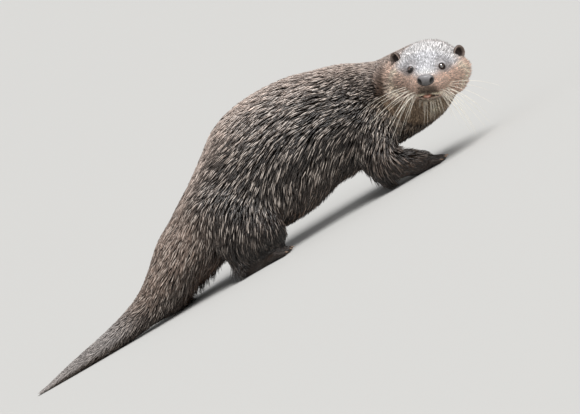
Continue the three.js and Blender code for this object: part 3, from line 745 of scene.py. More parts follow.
def new_material(name, roughness, specular=0.5, coat=0.0, coat_roughness=0.1, colour=None):
    """A Principled material with its even values on the shader's own sockets."""
    material = bpy.data.materials.new(name)
    material.use_nodes = True
    tree = material.node_tree
    shader = tree.nodes["Principled BSDF"]
    shader.inputs["Roughness"].default_value = roughness
    shader.inputs["Specular IOR Level"].default_value = specular
    shader.inputs["Coat Weight"].default_value = coat
    shader.inputs["Coat Roughness"].default_value = coat_roughness
    if colour is not None:
        shader.inputs["Base Color"].default_value = (*colour, 1)
    return material, tree, shader


def noise_on(tree, size):
    """Noise on Object coordinates with grains of the given size in millimetres."""
    coordinates = tree.nodes.new("ShaderNodeTexCoord")
    noise = tree.nodes.new("ShaderNodeTexNoise")
    noise.inputs["Scale"].default_value = 1000 / size
    noise.inputs["Detail"].default_value = 3.0
    tree.links.new(coordinates.outputs["Object"], noise.inputs["Vector"])
    return noise.outputs["Fac"]


def ranged(tree, value, low, high):
    """A noise value from 0.3 to 0.7 spread over low to high."""
    spread = tree.nodes.new("ShaderNodeMapRange")
    for socket, number in zip(("From Min", "From Max", "To Min", "To Max"), (0.3, 0.7, low, high)):
        spread.inputs[socket].default_value = number
    tree.links.new(value, spread.inputs["Value"])
    return spread.outputs["Result"]


def shaded(tree, shader, colour, value):
    """Links the base colour to the shader, with its brightness varied by a value."""
    vary = tree.nodes.new("ShaderNodeHueSaturation")
    if isinstance(colour, tuple):
        vary.inputs["Color"].default_value = colour
    else:
        tree.links.new(colour, vary.inputs["Color"])
    tree.links.new(value, vary.inputs["Value"])
    tree.links.new(vary.outputs["Color"], shader.inputs["Base Color"])


def bumped(tree, shader, height, distance, strength=1.0):
    """Links a height to the shader's normal as bump of the given depth in millimetres."""
    bump = tree.nodes.new("ShaderNodeBump")
    bump.inputs["Distance"].default_value = distance / 1000
    bump.inputs["Strength"].default_value = strength
    tree.links.new(height, bump.inputs["Height"])
    tree.links.new(bump.outputs["Normal"], shader.inputs["Normal"])


def own_colour(tree):
    """The colour of each point, which make_mesh keeps in the attribute named coat."""
    own = tree.nodes.new("ShaderNodeAttribute")
    own.attribute_name = "coat"
    return own.outputs["Color"]


def coat_material(name, roughness, grain, depth, specular, coat):
    """Fur or skin of its own colours, with fine grain in the brightness, the gloss and the surface."""
    material, tree, shader = new_material(name, roughness, specular, coat, 0.22)
    fine = noise_on(tree, grain)
    shaded(tree, shader, own_colour(tree), ranged(tree, noise_on(tree, grain * 9), 0.84, 1.14))
    tree.links.new(ranged(tree, fine, roughness - 0.08, roughness + 0.1), shader.inputs["Roughness"])
    bumped(tree, shader, fine, depth)
    return material


WET_LOCKS = coat_material("wet_locks", 0.28, 0.7, 0.1, 0.6, 0.2)
FACE_FUR = coat_material("face_fur", 0.45, 0.5, 0.08, 0.5, 0.05)
SKIN = coat_material("skin", 0.5, 0.9, 0.5, 0.4, 0.0)


# ------------------------------------------------------------------ skin

def make_skin_surface():
    """The skin's points and faces: the surface where skin_distance is zero, with faces cut in four on the
    feet and head, again round the eyes, mouth and nose, and again at the lids, and settled each time."""
    low = np.array([-10, -160, -9.1])
    points, faces = field_surface(skin_distance, low, [905, 110, 260], 3.6)
    points = settle(skin_distance, points, 2)

    def fine(p):
        """True on the head and the feet."""
        q = to_head(p)
        head = (lengths_of(q - [0, 0, -10]) < 70) & (q[:, 0] > -45)
        feet = np.min([foot_distance(foot, p) for foot in FEET.values()], axis=0) < 3
        return head | (feet & (p[:, 2] < 26))

    def finest(p):
        """True round the eyes, mouth and nose."""
        q = to_head(p)
        eye = eye_lengths(q)[0] < 13
        mouth = (q[:, 0] > 12) & (np.abs(q[:, 1]) < 23) & (np.abs(q[:, 2] + 37) < 12)
        nose = lengths_of(q - NOSE_AT) < 19
        return eye | mouth | nose

    def lids(p):
        """True at the eyelids."""
        return eye_lengths(to_head(p))[0] < 9.5

    for where in (fine, finest, lids):
        points, faces = split_edges(points, faces, where(points))
        moved = where(points)
        points[moved] = settle(skin_distance, points[moved], 2, 1.0)
    return points, faces


skin_points, skin_faces = make_skin_surface()
skin_normals = normals_of(skin_points, skin_faces)
skin_place = Place(skin_points)
bare = smooth(skin_place.depth, 0.8, 5)
skin_colours = coat_colour(skin_place) * mix(1.0, 0.5, bare)[:, None]
skin = make_mesh("skin", skin_points, skin_faces, SKIN, colours=skin_colours)


# ------------------------------------------------------------------ coat

def scatter(density, spacing, seed):
    """Root places on the skin and its normals there: points drawn by area and density, then one kept in each
    box of a grid as wide as the spacing, rounded to a third of an octave."""
    draw = np.random.default_rng(seed)
    a, b, c = (skin_points[skin_faces[:, k]] for k in range(3))
    area = lengths_of(np.cross(b - a, c - a)) / 2
    total = np.cumsum(area * density[skin_faces].mean(1))
    face = np.searchsorted(total, np.arange(draw.uniform(), total[-1], 1))
    r, s = draw.uniform(size=(2, len(face)))
    r, s = np.where(r + s > 1, 1 - r, r), np.where(r + s > 1, 1 - s, s)
    weights = np.stack([1 - r - s, r, s], 1)[:, :, None]
    corners = skin_faces[face]
    roots = (skin_points[corners] * weights).sum(1)
    normals = unit((skin_normals[corners] * weights).sum(1))
    gaps = (spacing[corners] * weights[:, :, 0]).sum(1)
    order = draw.permutation(len(roots))
    level = np.round(np.log2(gaps) * 3)
    box = np.c_[level, np.floor(roots / (2 ** (level / 3))[:, None])][order].astype(np.int64)
    _, kept = np.unique(box, axis=0, return_index=True)
    kept = order[kept]
    return roots[kept], normals[kept]


def chart_of(place):
    """Where each root is on an unwrap of the skin: its share along and round the body, or the two angles
    of its way from the middle of the head."""
    round_body = place.turn / 360 * np.sign(place.p[:, 1] - SPINE.a[place.link, 1] + 1e-6) + 0.5
    along_body = place.p[:, 0] / 900
    way = place.q - [-20, 0, -14]
    head_u = np.arctan2(way[:, 1], way[:, 0]) / (2 * math.pi) + 0.5
    head_v = np.arctan2(way[:, 2], np.hypot(way[:, 0], way[:, 1])) / math.pi + 0.5
    head = place.on_head > 0.5
    return np.stack([np.where(head, head_u, along_body), np.where(head, head_v, round_body)], 1)


def grow_tufts(roots, normals, sizes, steps, wander, clump, draw):
    """The rings of many tapered tufts: centres, and the half widths across and up at each step.

    A tuft starts just under the skin and takes its steps along the lie of the coat, turned by a wandering
    angle. At each step it is put at its height in the coat, from the skin up to the coat's tips, by the
    distance field, and its tip is drawn towards the middle of its clump by the square of the step."""
    place = Place(roots)
    length, width, thick, lift = sizes(place, draw)
    depth = -coat_distance(roots, place.parts)
    at, up = roots - normals * (0.5 + 0.1 * thick)[:, None], normals
    lean = waves(roots, 60, 7) * 0.13 + waves(roots, 22, 8) * 0.1 + draw.normal(0, wander, len(roots))
    curl = waves(roots, 34, 9) * 0.3 + draw.normal(0, wander, len(roots))
    centres, ups = [at], [up]
    for before, t in zip(steps[:-1], steps[1:]):
        here = Place(at)
        way = lie_of_coat(at, up, here)
        side = np.cross(up, way)
        turn = (lean + curl * (t - 0.4))[:, None]
        at = at + (way * np.cos(turn) + side * np.sin(turn)) * (length * (t - before))[:, None]
        d, slope = slope_of(coat_distance, at, 0.4)
        up = unit(slope)
        sunk = depth * (1 - smooth(t, 0, 0.62)) + thick * 0.4 * (t < 0.9)
        at = at + up * np.clip(lift * t ** 3 - sunk - d, -6, 6)[:, None]
        at[:, 2] = np.maximum(at[:, 2], 0.4)
        centres.append(at)
        ups.append(up)
    centres, ups = np.stack(centres, 1), np.stack(ups, 1)
    box = np.floor(roots / clump[:, None] + 0.2 * waves(roots, 25, 11)[:, None]).astype(np.int64)
    _, group = np.unique(box, axis=0, return_inverse=True)
    group = group.ravel()
    members = np.bincount(group)
    tips = centres[:, -1]
    middle = np.stack([np.bincount(group, tips[:, k]) for k in range(3)], 1) / members[:, None]
    pull = np.array(steps)[None, :, None] ** 2 * draw.uniform(0.05, 0.5, (len(roots), 1, 1))
    off = middle[group] - tips
    off -= ups[:, -1] * (off * ups[:, -1]).sum(1, keepdims=True)
    centres = centres + off[:, None] * pull
    return place, centres, ups, width, thick, group


PROFILE_STEPS = np.array([0, 0.3, 0.6, 0.85, 1.0])
PROFILE_WIDTHS = np.array([0.55, 1.0, 0.92, 0.55, 0.0])


def tuft_mesh(name, centres, ups, width, thick, steps, sides, material, colours, chart):
    """Joins the rings of each tuft into a closed spike: a cap under the skin, bands of two triangles a
    side, and a tip. Its patch of the map is its rings drawn round the root's place on the chart, the tip
    in the middle."""
    count, rings = len(centres), len(steps) - 1
    ways = unit(np.diff(centres, axis=1))
    ways = np.concatenate([ways, ways[:, -1:]], 1)[:, :rings]
    across = unit(np.cross(ways, ups[:, :rings]))
    rise = np.cross(across, ways)
    spin = 2 * math.pi * np.arange(sides) / sides
    wide = np.interp(steps[:rings], PROFILE_STEPS, PROFILE_WIDTHS)[None, :, None, None]
    ring = centres[:, :rings, None] + wide * (
        across[:, :, None] * np.cos(spin)[:, None] * width[:, None, None, None]
        + rise[:, :, None] * np.sin(spin)[:, None] * thick[:, None, None, None]) / 2
    points = np.concatenate([ring.reshape(count, -1, 3), centres[:, -1:]], 1)
    each = rings * sides + 1
    start = (np.arange(count) * each)[:, None, None]
    k = np.arange(sides)
    nxt = (k + 1) % sides
    cap = np.stack([0 * k[1:-1], k[1:-1], k[1:-1] + 1], 1)
    bands = []
    for r in range(rings - 1):
        a, b, c, d = r * sides + k, r * sides + nxt, (r + 1) * sides + nxt, (r + 1) * sides + k
        bands += [np.stack([a, c, b], 1), np.stack([a, d, c], 1)]
    last = (rings - 1) * sides
    tip = np.stack([last + nxt, last + k, 0 * k + each - 1], 1)
    body = np.vstack(bands + [tip])
    faces = np.vstack([(start + cap).reshape(-1, 3), (start + body).reshape(-1, 3)])
    spread = 0.0015 * (1 - steps[:rings])[:, None, None] * np.stack([np.cos(spin), np.sin(spin)], 1)
    patch = np.vstack([spread.reshape(-1, 2), [[0, 0]]])
    low, high = chart.min(0), chart.max(0)
    chart = 0.01 + 0.98 * (chart - low) / np.maximum(high - low, 1e-6)
    uv = (chart[:, None] + patch).reshape(-1, 2)
    points = points.reshape(-1, 3)
    points[:, 2] = np.maximum(points[:, 2], 0.15)
    return make_mesh(name, points, faces, material, colours=colours.reshape(-1, 3), uv=uv)


def tuft_colours(place, group, steps, sides, dark_root, draw, vary):
    """Each tuft's colour: the coat's, times a ramp that is dark at the root as painted shade deep in the
    coat and lighter at the tip as painted light, and each a little lighter or darker than the next by a
    lognormal draw. A three-sided tuft is painted lighter on its top and darker underneath; a lock has
    painted shade on its edges and underside, and a painted pale highlight of its own strength along its
    ridge, standing in for the glint of its wet hair."""
    far = 0.75 * place.on_tail * smooth(-place.p[:, 0], -250, -150)
    shade = draw.lognormal(0, vary * 0.9, group.max() + 1)[group] * draw.lognormal(0, vary, len(group))
    base = coat_colour(place) * (shade ** (1 - far))[:, None]
    # Painted shade and light: darker towards the root, deep in the coat, and lighter at the tip.
    ramp = np.interp(steps, [0, 0.3, 0.65, 1], [dark_root, 0.4 + dark_root / 2, 1.0, 1.2])
    if sides == 3:
        # Painted light and shade: each hair lighter on its top side (1.2) and darker underneath (0.45).
        rings = (ramp[:-1, None] * (0.85, 1.2, 0.45)).ravel()
        return base[:, None] * np.append(rings, ramp[-1])[None, :, None]
    calm = np.clip(smooth(-place.turn, -50, -15) + smooth(-place.p[:, 0], -430, -360), 0, 1)
    # Painted highlight: about a third of the locks carry a pale glint and are lighter, the rest darker.
    glinting = draw.uniform(size=len(base)) < 0.34
    base = base * mix(np.where(glinting, 1.1, 0.24), 1.0, np.maximum(0.55 * calm, far))[:, None]
    ramp = mix(ramp[None, :], 1.0, far[:, None])
    # Less painted highlight low on the body and legs, where they are in shade.
    low_in_shade = smooth(-place.p[:, 2], -100, -50) * 0.75 * (1 - place.on_tail)
    painted_glint = np.where(glinting, draw.uniform(0.25, 1.0, len(base)), draw.uniform(0, 0.1, len(base))) * (1 - low_in_shade)
    painted_glint = painted_glint * (1 - 0.6 * place.on_head)
    painted_glint = painted_glint * (1 - 0.5 * place.on_tail * smooth(-place.p[:, 0], -230, -120))
    along = np.interp(steps, [0, 0.25, 0.55, 0.9, 1], [0, 0.2, 1, 0.9, 0.4])
    painted_glint = painted_glint[:, None, None] * along[None, :-1, None]
    # Painted shade on a lock's sides, and more on its underside (0.4); painted light on its ridge.
    edge = base[:, None] * ramp[:, :-1, None] * mix(0.36, 0.65, np.maximum(calm, 1.3 * far))[:, None, None]
    lit_ridge = base[:, None] * ramp[:, :-1, None] * 1.2
    lit_ridge = lit_ridge + (display(236, 222, 210) - lit_ridge) * painted_glint
    rings = np.stack([edge, lit_ridge, edge, edge * 0.4], 2).reshape(len(base), -1, 3)
    return np.concatenate([rings, base[:, None] * ramp[:, -1:, None] * 0.9], 1)


def body_sizes(place, draw):
    """Length, width, thickness and tip's lift of each lock, from tables by the coat's depth. They shorten
    towards the head, and those under the belly and the legs hang longer and stand out more."""
    n = len(place.p)
    near = place.from_head
    under = smooth(place.turn, 105, 150) * (1 - place.on_tail * 0.6)
    x, z = place.p[:, 0], place.p[:, 2]
    fringe = smooth(place.turn, 95, 140) * np.exp(-((x - 330) / 55) ** 2)
    heel = place.on_leg * np.exp(-((x - 385) / 16) ** 2) * smooth(z, 12, 24) * smooth(-z, -80, -55)
    elbow = place.on_leg * np.exp(-((x - 664) / 24) ** 2) * smooth(z, 12, 24) * smooth(-z, -80, -45)
    ragged = np.maximum(fringe, np.maximum(heel, elbow)) * (draw.uniform(size=n) < 0.55)
    size = np.minimum(np.interp(place.depth, [0.5, 1, 2.5, 5, 8, 10.5], [4, 6, 10, 17, 28, 38]),
                      np.interp(near, [60, 90, 130, 190], [10, 14, 22, 35]))
    size = np.minimum(size, 4 + 0.6 * np.maximum(ear_length(place.q) - 12, 0))
    size = size * mix(1, 0.62, place.on_leg * smooth(-z, -52, -30) * (1 - ragged))
    length = size * (1 + 0.25 * under + ragged) * draw.uniform(0.8, 1.2, n)
    width = np.interp(size, [4, 6, 10, 17, 35], [0.7, 0.9, 1.3, 1.8, 2.5]) * draw.uniform(0.65, 1.3, n)
    width = width * (1 - 0.35 * place.on_tail * smooth(-place.p[:, 0], -260, -140))
    lift = size * 0.035 * (1 + 4 * under) * draw.uniform(-0.2, 1.6, n)
    lift = lift + 22 * ragged * draw.uniform(0.2, 1.0, n)
    return length, width, width * 0.55, lift


def face_sizes(place, draw):
    """The same for the head: small tufts, from a table by how far forward they are, shortest near the
    nose."""
    n = len(place.p)
    size = np.interp(place.q[:, 0], [-80, -45, -15, 10, 30], [13, 10.5, 7.5, 5, 3])
    eye = eye_lengths(place.q)[0]
    over = np.abs(mouth_height(place.q)) + 0.4 * np.maximum(20 - place.q[:, 0], 0)
    size = np.minimum(size, 1.6 + 0.45 * np.maximum(eye - 7.5, 0))
    size = np.minimum(size, 1.4 + 0.5 * np.maximum(over - 3, 0))
    size = np.minimum(size, 2 + 0.5 * np.maximum(ear_length(place.q) - 9, 0))
    length = size * draw.uniform(0.8, 1.25, n)
    width = np.interp(size, [3, 4.8, 7, 9.5, 12], [0.55, 0.8, 1.1, 1.5, 1.9]) * draw.uniform(0.75, 1.3, n)
    cheek = smooth(np.abs(place.q[:, 1]), 44, 58) * smooth(-place.q[:, 2], 0, 12)
    lift = size * (0.14 + 0.2 * cheek) * draw.uniform(-0.2, 1.8, n)
    return length, width, width * 0.6, lift


LOCK_STEPS = np.array([0, 0.3, 0.6, 0.85, 1.0])
HAIR_STEPS = np.array([0, 0.45, 1.0])


def ear_length(q):
    """Distance of each point from the middle of the nearer ear."""
    return lengths_of(paired(q) - EAR_AT)


def off_features(place):
    """1 where fur grows, 0 on the eyes, nose, mouth, soles and ears' roots."""
    q = place.q
    eye = eye_lengths(q)[0]
    nose = lengths_of((q - NOSE_AT) / (np.array(NOSE_SIZE) + 1))
    mouth = (np.abs(mouth_height(q)) < 3.8) & (np.abs(q[:, 1]) < MOUTH_HALF + 0.5) & (q[:, 0] > 8)
    ears = ear_length(q) < 10
    ground = place.p[:, 2] < 2.0
    return ((eye > 7.9) & (nose > 1) & ~mouth & ~ears & ~ground).astype(float)


def tuft_pieces(tufts, steps, sides, material, colours, part, names):
    """One mesh of tufts for each named part, each tuft going by its own part."""
    place, centres, ups, width, thick, _ = tufts
    chart = chart_of(place)
    made = []
    for key, name in names.items():
        chosen = part == key
        made.append(tuft_mesh(f"coat_{name}", centres[chosen], ups[chosen], width[chosen], thick[chosen],
                              steps, sides, material, colours[chosen], chart[chosen]))
    return made


def make_body_coat(grown, draw):
    """The wet locks of the body, cut into pieces along the spine and by leg. Their density is 2.4 over
    the square of their spacing, which is the smaller of a table by the coat's depth and one by the way
    from the head."""
    spacing = np.minimum(
        np.interp(skin_place.depth, [0.5, 1, 2.5, 5, 10.5], [1.9, 2.2, 2.6, 3.1, 4.25]),
        np.interp(skin_place.from_head, [60, 90, 130, 190], [2.0, 2.5, 3.2, 4.25]))
    roots, normals = scatter(grown * 2.4 / spacing ** 2 * (skin_place.on_head < 0.5), spacing, 5)
    clump = np.interp(Place(roots).depth, [1, 10.5], [3, 7])
    tufts = grow_tufts(roots, normals, body_sizes, LOCK_STEPS, 0.06, clump, draw)
    place, group = tufts[0], tufts[-1]
    colours = tuft_colours(place, group, LOCK_STEPS, 4, 0.1, draw, 0.2)
    along = np.digitize(roots[:, 0], [330, 440, 540, 640, 735])
    names = dict(enumerate(("tail", "rump", "loins", "ribs", "shoulders", "neck")))
    names.update({10 + i: f"leg_{name}" for i, name in enumerate(LEG_NAMES)})
    part = np.where(place.on_leg > 0.5, 10 + place.leg, along)
    return tuft_pieces(tufts, LOCK_STEPS, 4, WET_LOCKS, colours, part, names)


def make_head_coat(grown, draw):
    """The short hairs of the head, in two pieces. Their density is 2.2 over the square of their spacing,
    from a table by how far forward they are."""
    spacing = np.interp(skin_place.q[:, 0], [-80, -45, -15, 10, 30], [2.0, 1.75, 1.4, 1.05, 0.8])
    roots, normals = scatter(grown * 2.2 / spacing ** 2 * (skin_place.on_head >= 0.5), spacing, 6)
    forward = to_head(roots)[:, 0]
    clump = np.interp(forward, [-60, 20], [3.4, 1.4])
    tufts = grow_tufts(roots, normals, face_sizes, HAIR_STEPS, 0.1, clump, draw)
    colours = tuft_colours(tufts[0], tufts[-1], HAIR_STEPS, 3, 0.3, draw, 0.3)
    return tuft_pieces(tufts, HAIR_STEPS, 3, FACE_FUR, colours, forward > -22, {0: "crown", 1: "muzzle"})


def make_coat():
    """All tufts of the body, then the head's."""
    draw = np.random.default_rng(77)
    grown = off_features(skin_place)
    return make_body_coat(grown, draw) + make_head_coat(grown, draw)


coat = make_coat()
FLESH = ("tail", "trunk", "neck", "head", "leg", "foot")
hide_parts(*[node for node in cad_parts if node.split("_")[0] in FLESH])
for piece in [skin, *coat]:
    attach(piece, "root")


# ------------------------------------------------------------------ face pieces

def capped_grid(rows, columns):
    """Triangles over a point, then rows of columns that close on themselves, then a point."""
    k = np.arange(columns)
    nxt = (k + 1) % columns
    quads = grid_faces(rows, columns) + 1
    last = 1 + (rows - 1) * columns
    end = 1 + rows * columns
    return np.vstack([np.stack([0 * k, nxt + 1, k + 1], 1), quads[:, [0, 1, 2]], quads[:, [0, 2, 3]],
                      np.stack([last + k, last + nxt, 0 * k + end], 1)])


def ring_points(first, rings, last):
    """A point, then the rings' points row by row, then a point."""
    return np.vstack([[first], rings.reshape(-1, 3), [last]])


def outward(points, faces):
    """The same faces, turned round if they enclose a negative volume."""
    a, b, c = (points[faces[:, k]] for k in range(3))
    return faces[:, ::-1] if (a * np.cross(b, c)).sum() < 0 else faces


def axes_about(way, up=(0.0, 0.0, 1.0)):
    """Three square axes: the given way, a sideways one and one nearest to up."""
    way = unit(np.asarray(way, float))
    side = unit(np.cross(up, way))
    return np.stack([way, side, np.cross(way, side)])


LOOK_WAY = np.array([0.93, 0.14, 0.34])
EAR_SKIN = coat_material("ear_skin", 0.5, 0.6, 0.15, 0.4, 0.0)


def make_eye(name, side, material):
    """A ball with a slightly raised cornea: the radius grows by a bell of the angle from the gaze. The
    pupil, iris and dark rim are rings of colour by that angle."""
    gaze = unit(EYE_OUT * [1, side, 1] + 0.6 * LOOK_WAY)
    forward, across, up = axes_about(gaze)
    angle = np.linspace(0, math.pi, 34)[1:-1, None]
    turn = turns(40)[None, :]
    radius = EYE_RADIUS * (1 + 0.05 * np.exp(-(angle / 0.5) ** 2)) - 0.15
    shape = (radius * np.cos(angle))[..., None] * forward + (radius * np.sin(angle))[..., None] * (
        np.cos(turn)[..., None] * across + np.sin(turn)[..., None] * up)
    centre = np.array(EYE_AT) * [1, side, 1]
    q = ring_points(forward * (EYE_RADIUS * 1.05 - 0.15), shape, -forward * (EYE_RADIUS - 0.15)) + centre
    at = np.concatenate([[0], np.repeat(angle[:, 0], 40), [math.pi]])
    colour = painted(np.tile(display(7, 6, 6), (len(at), 1)), (
        ((104, 62, 34), smooth(at, 0.42, 0.5)), ((22, 15, 11), smooth(at, 0.72, 0.84))))
    points = from_head(q)
    return make_mesh(name, points, outward(points, capped_grid(32, 40)), material, colours=colour)


def ear_shape(s, turn, side):
    """Points of the ear in the head's frame: a profile that goes from the middle of the back (s = 0) as
    an ellipse out to the rim (s = 0.6) and in again to the bottom of the hollow (s = 1), turned round the
    way the ear faces; the rim is folded in at the foot of the ear."""
    bend = np.radians(108) * np.clip(s / 0.6, 0, 1)
    inner = np.clip((s - 0.6) / 0.4, 0, 1)
    reach = np.sin(bend) * (1 - inner) ** 0.8 - 0.13 * smooth(inner, 0, 0.25) * (1 - inner)
    ahead = -np.cos(bend) * EAR_SIZE[0] - 8.5 * (1 - (1 - inner) ** 2.2) + 0 * turn
    fold = 1 - 0.12 * np.exp(-((np.cos(turn - 0.5) - 1) / 0.2) ** 2) * smooth(inner, 0.1, 0.5)
    across = reach * fold * EAR_SIZE[1] * np.cos(turn)
    up = reach * fold * EAR_SIZE[2] * np.sin(turn) * np.where(np.sin(turn) > 0, 1, 0.86)
    yaw = math.radians(EAR_YAW) * side
    forward = ahead * math.cos(yaw) - across * math.sin(yaw)
    left = ahead * math.sin(yaw) + across * math.cos(yaw)
    return np.stack([forward, left, up], -1) + np.array(EAR_AT) * [1, side, 1]


def make_ear(name, side):
    """The cup of the ear: a grid over the two parameters of its shape, closed at both ends."""
    s = np.linspace(0, 1, 30)[:, None]
    turn = turns(36)[None, :]
    q = ear_shape(s, turn, side)
    points = from_head(ring_points(q[0, 0], q[1:-1], q[-1, 0]))
    where = np.concatenate([[0], np.repeat(s[1:-1, 0], 36), [1]])
    colour = painted(np.tile(display(112, 98, 92), (len(where), 1)), (
        ((176, 158, 148), smooth(where, 0.46, 0.58)), ((52, 42, 39), smooth(where, 0.62, 0.72))))
    return make_mesh(name, points, outward(points, capped_grid(28, 36)), EAR_SKIN, colours=colour)


def make_ear_fur(name, side):
    """Short hairs on the back and rim of the ear: each runs on along the ear's profile from its own place, s
    growing evenly with the step, and stands off by the square of the step."""
    draw = np.random.default_rng(61 + side)
    count = 2200
    s, turn = draw.uniform(0.1, 0.68, count), draw.uniform(0, 2 * math.pi, count)
    t = HAIR_STEPS[None, :]
    along = s[:, None] + draw.uniform(0.08, 0.15, (count, 1)) * t
    round_ear = turn[:, None] + draw.normal(0, 0.12, (count, 1)) * t
    q = ear_shape(np.minimum(along, 0.7), round_ear, side)
    away = unit(q - np.array(EAR_AT) * [1, side, 1])
    q = q + away * (draw.uniform(0.4, 1.4, (count, 1)) * t ** 2 - 0.15)[..., None]
    base = tint(np.tile(display(104, 90, 84), (count, 1)), display(182, 164, 152), smooth(s, 0.4, 0.52))
    base = tint(base, display(70, 58, 53), smooth(s, 0.6, 0.68)) * draw.lognormal(0, 0.25, (count, 1))
    # Painted shade and light: each hair dark at the root (0.5), lighter on its top side (1.2), darker
    # underneath (0.45).
    rings = np.array([0.5 * 0.85, 0.5 * 1.2, 0.5 * 0.45, 0.85, 1.2, 0.45, 1.2])
    chart = np.stack([turn / (2 * math.pi), s], 1)
    colours = base[:, None] * rings[None, :, None]
    return tuft_mesh(name, from_head(q), away @ HEAD_AXES, draw.uniform(0.5, 0.9, count),
                     np.full(count, 0.4), HAIR_STEPS, 3, FACE_FUR, colours, chart)


def make_nose():
    """The nose pad: a flattened ball whose outline is wide above and narrow below, by powers of the sine and
    cosine, with a comma-shaped nostril pressed in at each side and a groove down the middle, both bells."""
    s = np.linspace(0, 1, 42)[1:-1, None]
    turn = turns(64)[None, :]
    out = np.sin(math.pi * s) ** 0.75
    low = np.clip(-np.sin(turn), 0, 1)
    narrow = 1 - 0.5 * smooth(low, 0.5, 1)
    left = NOSE_SIZE[1] * np.cos(turn) * np.abs(np.cos(turn)) ** -0.12 * narrow * out
    rise = np.sin(turn)
    up = np.where(rise > 0, 8.6 * np.maximum(np.abs(rise), 1e-9) ** -0.2, 10.4) * rise * out
    forward = NOSE_SIZE[0] * np.cos(math.pi * s) * np.abs(np.cos(math.pi * s)) ** -0.2 + 0 * turn
    forward = forward - 0.02 * left ** 2 * (forward > 0) - 0.12 * np.maximum(-up - 3, 0)
    hole = ((np.abs(left) - 9.3) / 2.6) ** 2 + ((up + 0.9 - 0.5 * (np.abs(left) - 9.3)) / 3.9) ** 2
    pit = np.exp(-hole ** 1.6) * (forward > -1)
    wing = np.exp(-((np.sqrt(hole) - 1.5) / 0.45) ** 2) * (forward > -1)
    forward = forward - 3.8 * pit + 0.6 * wing
    forward = forward - 0.9 * np.exp(-(left / 0.8) ** 2) * smooth(-up, 1, 5) * (forward > 0)
    centre = np.array(NOSE_AT, float)
    shape = np.stack([forward, left, up], -1)
    q = ring_points([NOSE_SIZE[0], 0, 0], shape, [-NOSE_SIZE[0], 0, 0]) + centre
    # Painted shade: the nostril pits near black.
    nostril_shade = np.concatenate([[0], smooth(pit, 0.06, 0.3).ravel(), [0]])
    height = np.concatenate([[0], up.ravel(), [0]])
    # Painted light: the pad lighter towards its top, as if lit from above.
    colour = painted(np.tile(display(78, 75, 75), (len(nostril_shade), 1)), (
        ((128, 125, 126), smooth(height, -7, 7)), ((5, 4, 4), nostril_shade)))
    points = from_head(q)
    return make_mesh("nose_pad", points, outward(points, capped_grid(40, 64)), NOSE_LEATHER, colours=colour)


def make_tongue():
    """The tongue's tip between the lips: a flat ball, hollowed along its middle by a bell."""
    angle = np.linspace(0, math.pi, 18)[1:-1, None]
    turn = turns(28)[None, :]
    forward = 10.5 * np.cos(angle) + 0 * turn
    left, up = 7.6 * np.sin(angle) * np.cos(turn), 3.5 * np.sin(angle) * np.sin(turn)
    up = up - 0.5 * np.exp(-(left / 1.6) ** 2) * (up > 0)
    q = ring_points([10.5, 0, 0], np.stack([forward, left, up], -1), [-10.5, 0, 0]) + [22.8, -2.2, -38.4]
    points = from_head(q)
    return make_mesh("tongue_tip", points, outward(points, capped_grid(16, 28)), TONGUE_WET)


def make_claws(name, foot):
    """Five claws: each a round section carried along an arc that droops by the square of its length,
    thinning as a power of one less the square of the share along, with its sides pressed flat."""
    steps = np.linspace(0, 1, 9)[:-1]
    turn = turns(10)
    points, faces = [], []
    for n, i in enumerate(TOES):
        _, knuckle, tip = toe_joints(foot["form"], i)
        out = math.atan2(tip[1] - knuckle[1], tip[0] - knuckle[0])
        along = steps * 10.5 - 2
        thick = 1.75 * (1 - steps ** 2) ** 0.7 + 0.05
        x = tip[0] + along[:, None] * math.cos(out) - thick[:, None] * 0.8 * np.cos(turn) * math.sin(out)
        y = tip[1] + along[:, None] * math.sin(out) + thick[:, None] * 0.8 * np.cos(turn) * math.cos(out)
        z = tip[2] + 1.8 + thick[:, None] * np.sin(turn) - 2.9 * (steps ** 2)[:, None]
        ends = [(tip[0] + a * math.cos(out), tip[1] + a * math.sin(out), tip[2] + 1.8 - 2.9 * (a > 0))
                for a in (-2.2, 8.6)]
        made = foot_point(foot, ring_points(ends[0], np.stack([x, y, z], -1), ends[1]))
        made[:, 2] = np.maximum(made[:, 2], 0.1)
        mesh = outward(made - made.mean(0), capped_grid(len(steps), len(turn)))
        faces.append(mesh + n * len(made))
        points.append(made)
    return make_mesh(name, np.vstack(points), np.vstack(faces), CLAW_HORN)


def make_whiskers(name, bases, ways, lengths, droop, radius, material):
    """Stiff tapered hairs: each a small round section carried along base + way t + droop t^2, thinning
    evenly to its tip."""
    t = np.linspace(0, 1, 12)
    count = len(bases)
    path = bases[:, None] + (ways * lengths[:, None])[:, None] * t[:, None]
    path = path + (droop * lengths[:, None])[:, None] * (t ** 2)[:, None]
    tangent = unit(np.gradient(path, axis=1))
    side = unit(np.cross(tangent, np.array([0.3, -0.2, 0.93])))
    rise = np.cross(side, tangent)
    spin = 2 * math.pi * np.arange(5) / 5
    thin = (radius * (1 - 0.85 * t[:-1]))[None, :, None, None]
    rings = path[:, :-1, None] + thin * (side[:, :-1, None] * np.cos(spin)[:, None]
                                         + rise[:, :-1, None] * np.sin(spin)[:, None])
    start = path[:, :1] - tangent[:, :1] * 0.5
    points = np.concatenate([start, rings.reshape(count, -1, 3), path[:, -1:]], 1)
    one = outward(points[0], capped_grid(11, 5))
    faces = (np.arange(count)[:, None, None] * points.shape[1] + one).reshape(-1, 3)
    points = points.reshape(-1, 3)
    points[:, 2] = np.maximum(points[:, 2], 0.4)
    return make_mesh(name, points, faces, material)


